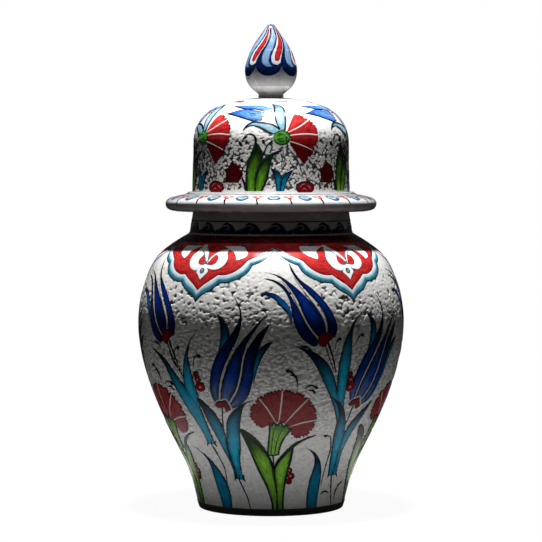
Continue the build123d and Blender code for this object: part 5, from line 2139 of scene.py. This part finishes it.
@dataclass
class Dome:
    """The dome of the lid: two hammered shells and their flowers.

    Attributes:
        sink: how far the pebbles' tops lie inside the CAD's outline, in millimetres.
        cut: distance along the dome where its wall's shell ends and its crown's begins.
        columns: points round the rings of each of the two.
        steps: spacing of their rings, in millimetres.
        wall_steps: rings on the inside of each.
        bore: radius of the hole under the knob.
        hammering: the relief.
    """

    sink: float = 0.3
    cut: float = 46.0
    columns: tuple[int, int] = (840, 480)
    steps: Point = (0.46, 0.7)
    wall_steps: int = 14
    bore: float = 4.6
    # The hammering also darkens the ground's colour in its pits and seams: painted shade.
    hammering: Hammering = Hammering(
        cell=1.95, squat=1.15, depth=0.34, pits=(0.55, 0.7), seams=0.5, seam_width=0.12,
        rounding=0.1, painted_shade=1.6, reach=(0.5, 3.0, 17.0, 46.0), ripples=(-2.0, -1.0),
        ripple_shade=0.0, seed=23,
    )
    flowers: DomeFlowers = DomeFlowers()

    def build(self) -> None:
        """Builds the shells: the wall, and the crown with its flat and hole for the knob."""
        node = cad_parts["lid_dome"]
        foot_z = heights("lid_dome")[0]
        heart = (0.0, foot_z + 4.0)
        profile = Profile(wall_points(node, Side.OUTER, heart))
        inside = Profile(wall_points(node, Side.INNER, heart, beyond=5.5))
        wall = outside_rows(profile, 0.0, self.cut, self.steps[0], self.sink)
        wall[0, 1] = foot_z
        last = float(profile.s[-1])
        crown = outside_rows(profile, self.cut, last, self.steps[1], self.sink)
        cut_in = inside.along(float(crown[0, 1]))
        hole = np.array([[self.bore, crown[-1, 1]], [self.bore, inside.z[-1]]])
        for name, rows, ends, lead, columns in (
            ("dome_wall", wall, (cut_in, 0.0), np.empty((0, 2)), self.columns[0]),
            ("dome_crown", crown, (float(inside.s[-1]), cut_in), hole, self.columns[1]),
        ):
            back = np.vstack([lead, inside_rows(inside, *ends, self.wall_steps)])
            piece = TurnedShell(rows, back, columns, self.hammering).build(name)
            finish_piece(piece, Ground.HAMMERED, Section.DOME, "lid_dome")
        self._paint(Wall(profile, self.sink))

    def _paint(self, wall: Wall) -> None:
        """The dome's flowers, coat by coat, and the thin line above them."""
        f = self.flowers
        Brush(wall, Section.DOME, step=0.5).paint_all(
            f.turns,
            ("dome_stems", Layer.UNDER, Paint.INK_LINE, f.stems),
            ("dome_tendrils", Layer.UNDER, Paint.GREY_LINE, f.tendrils),
            ("dome_green_leaves", Layer.WASH, Paint.LID_GREEN, f.green_leaves),
            ("dome_leaf_edges", Layer.OVER, Paint.DARK_GREEN, f.leaf_lines),
            ("dome_foot_leaves", Layer.WASH, Paint.SEA_LEAF, f.foot_leaves),
            ("dome_tulips", Layer.WASH, Paint.LID_BLUE, f.tulip),
            ("dome_tulip_rims", Layer.LINE, Paint.NAVY_BLUE, f.tulip_rims),
            ("dome_dashes", Layer.TOP, Paint.CORAL, f.dashes),
            ("dome_fringe", Layer.TOP, Paint.CORAL, f.fringe),
            ("dome_pale_leaves", Layer.OVER, Paint.PALE_TURQUOISE, f.leaves),
            ("dome_leaf_rims", Layer.TOP, Paint.NAVY_BLUE, f.leaf_rims),
            ("dome_fans", Layer.LINE, Paint.FAN_RED, f.fan),
            ("dome_ribs", Layer.TOP, Paint.WHITE_LINE, f.ribs),
            ("dome_hubs", Layer.LINE, Paint.HUB_GREEN, f.hub),
            ("dome_hub_spots", Layer.TOP, Paint.DARK_GREEN, f.hub_spots),
            ("dome_dark_flowers", Layer.WASH, Paint.DEEP_RED, f.flowers),
            ("dome_berries", Layer.WASH, Paint.DARK_RED, f.berries),
            ("dome_berry_glints", Layer.OVER, Paint.ROSE, f.berry_glints),
            ("dome_berry_lines", Layer.LINE, Paint.INK_LINE, f.berry_lines),
        )
        flat = Brush(wall, Section.DOME, step=0.7, crown=0.0)
        hoop = hoops(wall.profile, 0.5, f.hoop_at), SECTORS
        flat.paint("dome_hoop", Layer.UNDER, Paint.GREY_LINE, hoop)


@dataclass
class Knob:
    """The knob: a smooth egg on its stem, closed on the axis, and its six lobes.

    Attributes:
        sink: how far the glaze lies inside the CAD's outline, in millimetres.
        columns: points round each ring.
        tip: radius of the knob's slender upper part, and its height against the very tip.
    """

    sink: float = 0.2
    columns: int = 160
    tip: Line = (
        (12.6, -16.5), (11.87, -15.0), (11.05, -13.5), (10.12, -12.0), (9.14, -10.5), (8.12, -9.0),
        (7.08, -7.5), (6.04, -6.0), (5.0, -4.5), (4.08, -3.2), (3.25, -2.1), (2.45, -1.2),
        (1.6, -0.5), (0.8, -0.12), (0.0, 0.0),
    )
    lobes: KnobLobes = KnobLobes()

    def build(self) -> None:
        """Builds the egg: the CAD's outline up to the slender part, then that part's own."""
        seat_z, tip_z = heights("lid_dome")[1], heights("finial")[1]
        heart = (0.0, (seat_z + tip_z) / 2)
        outer = wall_points(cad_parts["finial"], Side.OUTER, heart, 0.9999)
        outer = outer[outer[:, 1] > seat_z + 0.01]
        stem = float(outer[outer[:, 1] < seat_z + 2.5, 0].min())
        below = outer[outer[:, 1] < tip_z + self.tip[0][1] - 0.5]
        profile = Profile(np.vstack([below, [(r, tip_z + rise) for r, rise in self.tip]]))
        rows = outside_rows(profile, 0.0, float(profile.s[-1]), 0.5, self.sink)
        rows[-1, 0] = 0.0
        rows = np.vstack([[[0, seat_z, 0], [stem, seat_z, 0]], rows])
        piece = TurnedShell(rows, np.empty((0, 2)), self.columns).build("knob_glazed")
        finish_piece(piece, Ground.SMOOTH, Section.KNOB, "finial")
        self._paint(Wall(profile, self.sink, root=0.4, wander=0.0))

    def _paint(self, wall: Wall) -> None:
        """The lobes, coat by coat."""
        k = self.lobes
        turns = [k.first + 360.0 / k.count * n for n in range(k.count)]
        brush = Brush(wall, Section.KNOB, step=0.6, crown=0.02)
        for name, layer, paint, edges in (
            # The first coat is painted shade: grey on the bulb under the lobes.
            ("knob_painted_shade", Layer.UNDER, Paint.SMOKE, k.lower_shade),
            ("knob_navy", Layer.WASH, Paint.NAVY_BLUE, k.navy),
            ("knob_navy_tops", Layer.UNDER, Paint.NAVY_BLUE, k.navy_top),
            ("knob_powder_blue", Layer.WASH, Paint.POWDER_BLUE, k.powder),
            ("knob_white", Layer.WASH, Paint.MILK_WHITE, k.white),
            ("knob_red", Layer.OVER, Paint.RED, k.red),
            ("knob_tip", Layer.TOP, Paint.POWDER_BLUE, k.tip_cap),
        ):
            brush.paint(name, layer, paint, ((k.blade(edges, wall.profile),), turns))


# ---------------------------------------------------------------- stage


@dataclass(frozen=True)
class Stage:
    """Camera, floor and lamps.

    Attributes:
        eye: the camera's place, in metres.
        aim: what it looks at.
        lens: in millimetres, on a 36 mm sensor.
        lamps: each lamp's place, its aim, its power in watts, the full angle of its cone in
            degrees, and how soft the cone's edge is.
        room: brightness of the room round the jar.
        shadow_share: how much of the floor's white is its own glow, near the jar.
        shadow_reach: metres over which the glow takes over.
        floor_reach: how far the floor goes to each side, in metres.
        floor_color: what the jar's underside sees.
        lamp_size: radius of the lamps, in metres.
    """

    eye: tuple[float, float, float] = (0.0, -1.437, 0.211)
    aim: tuple[float, float, float] = (0.0, 0.0, 0.1468)
    lens: float = 153.6
    lamps: tuple[tuple[str, Sequence[float], Sequence[float], float, float, float], ...] = (
        ("overhead", (0.0, -0.06, 1.2), (0.0, 0.0, 0.0), 127.0, 15.0, 0.35),
        ("lid_fill", (0.0, -0.36, 0.75), (0.0, -0.055, 0.236), 18.0, 7.2, 1.0),
    )
    room: float = 0.03
    shadow_share: float = 0.955
    shadow_reach: Point = (0.06, 0.13)
    floor_reach: float = 6.0
    floor_color: Color = (0.6, 0.6, 0.6)
    lamp_size: float = 0.035

    def build(self) -> None:
        """Places everything."""
        self._camera()
        self._floor()
        self._world()
        self._lamps()

    def _camera(self) -> None:
        """The camera at eye height, level with the lid."""
        data = bpy.data.cameras.new("camera")
        data.lens = self.lens
        data.sensor_width = 36.0
        camera = bpy.data.objects.new("camera", data)
        bpy.context.scene.collection.objects.link(camera)
        camera.location = self.eye
        camera.rotation_euler = self._towards(self.eye, self.aim)
        bpy.context.scene.camera = camera

    @staticmethod
    def _towards(eye: Sequence[float], aim: Sequence[float]) -> tuple[float, float, float]:
        """Rotation that looks from one place to another, with Z up."""
        x, y, z = (b - a for a, b in zip(eye, aim))
        return (math.atan2(math.hypot(x, y), -z), 0.0, math.atan2(-x, y))

    def _lamps(self) -> None:
        """One lamp overhead, with a cone not much wider than the jar, and a weak one in
        front that only reaches the lid."""
        for name, place, aim, power, cone, softness in self.lamps:
            data = bpy.data.lights.new(name, "SPOT")
            data.energy = power
            data.spot_size = math.radians(cone)
            data.spot_blend = softness
            data.shadow_soft_size = self.lamp_size
            lamp = bpy.data.objects.new(name, data)
            lamp.location = place
            lamp.rotation_euler = self._towards(place, aim)
            bpy.context.scene.collection.objects.link(lamp)

    def _floor(self) -> None:
        """A wide pale floor that the camera sees as white, under and round the shadow."""
        verts = np.array([[-1, -1, 0], [1, -1, 0], [1, 1, 0], [-1, 1, 0]]) * self.floor_reach
        floor = build_mesh("floor", verts, [np.array([[0, 1, 2, 3]])])
        material, tree, shader = new_material("pale_floor")
        tree.feed(shader.inputs["Base Color"], self.floor_color)
        set_inputs(shader, Roughness=0.9)
        path = tree.node("ShaderNodeLightPath")
        glow = tree.node("ShaderNodeEmission")
        away = tree.vector("LENGTH", tree.place())
        far = tree.ease(away, *self.shadow_reach, (self.shadow_share, 1.0))
        blend = tree.node("ShaderNodeMixShader")
        tree.feed(blend.inputs[0], tree.math("MULTIPLY", path.outputs["Is Camera Ray"], far))
        tree.feed(blend.inputs[1], shader.outputs[0])
        tree.feed(blend.inputs[2], glow.outputs[0])
        tree.feed(material.node_tree.nodes["Material Output"].inputs[0], blend.outputs[0])
        floor.data.materials.append(material)

    def _world(self) -> None:
        """White behind the jar, and a dim room for the light and the reflections."""
        world = bpy.data.worlds.new("studio")
        bpy.context.scene.world = world
        world.use_nodes = True
        tree = Tree(world.node_tree)
        back = world.node_tree.nodes["Background"]
        path = tree.node("ShaderNodeLightPath")
        back.inputs["Color"].default_value = (1, 1, 1, 1)
        seen = tree.ease(path.outputs["Is Camera Ray"], 0.0, 1.0, (self.room, 1.0))
        tree.feed(back.inputs["Strength"], seen)


def main() -> None:
    """Builds the jar from its foot to its knob, then the stage."""
    logging.basicConfig(level=logging.INFO, format="%(name)s: %(message)s")
    bpy.context.scene.view_settings.view_transform = "Standard"
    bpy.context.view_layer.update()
    Stage().build()
    dress(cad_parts["foot_ring"], Ground.FOOT)
    dress(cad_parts["lid_locating_ring"], Ground.CLAY)
    body = JarBody()
    body.build()
    Neck().build()
    Garden(body.wall).build()
    Shoulder(body.wall).build()
    for part in (Brim(), Dome(), Knob()):
        part.build()


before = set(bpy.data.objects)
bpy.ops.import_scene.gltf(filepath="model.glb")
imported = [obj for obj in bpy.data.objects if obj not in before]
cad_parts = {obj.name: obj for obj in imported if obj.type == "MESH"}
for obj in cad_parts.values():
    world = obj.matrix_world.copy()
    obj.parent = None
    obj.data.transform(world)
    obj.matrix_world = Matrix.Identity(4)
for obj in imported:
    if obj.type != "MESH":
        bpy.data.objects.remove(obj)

if __name__ == "__main__":
    main()
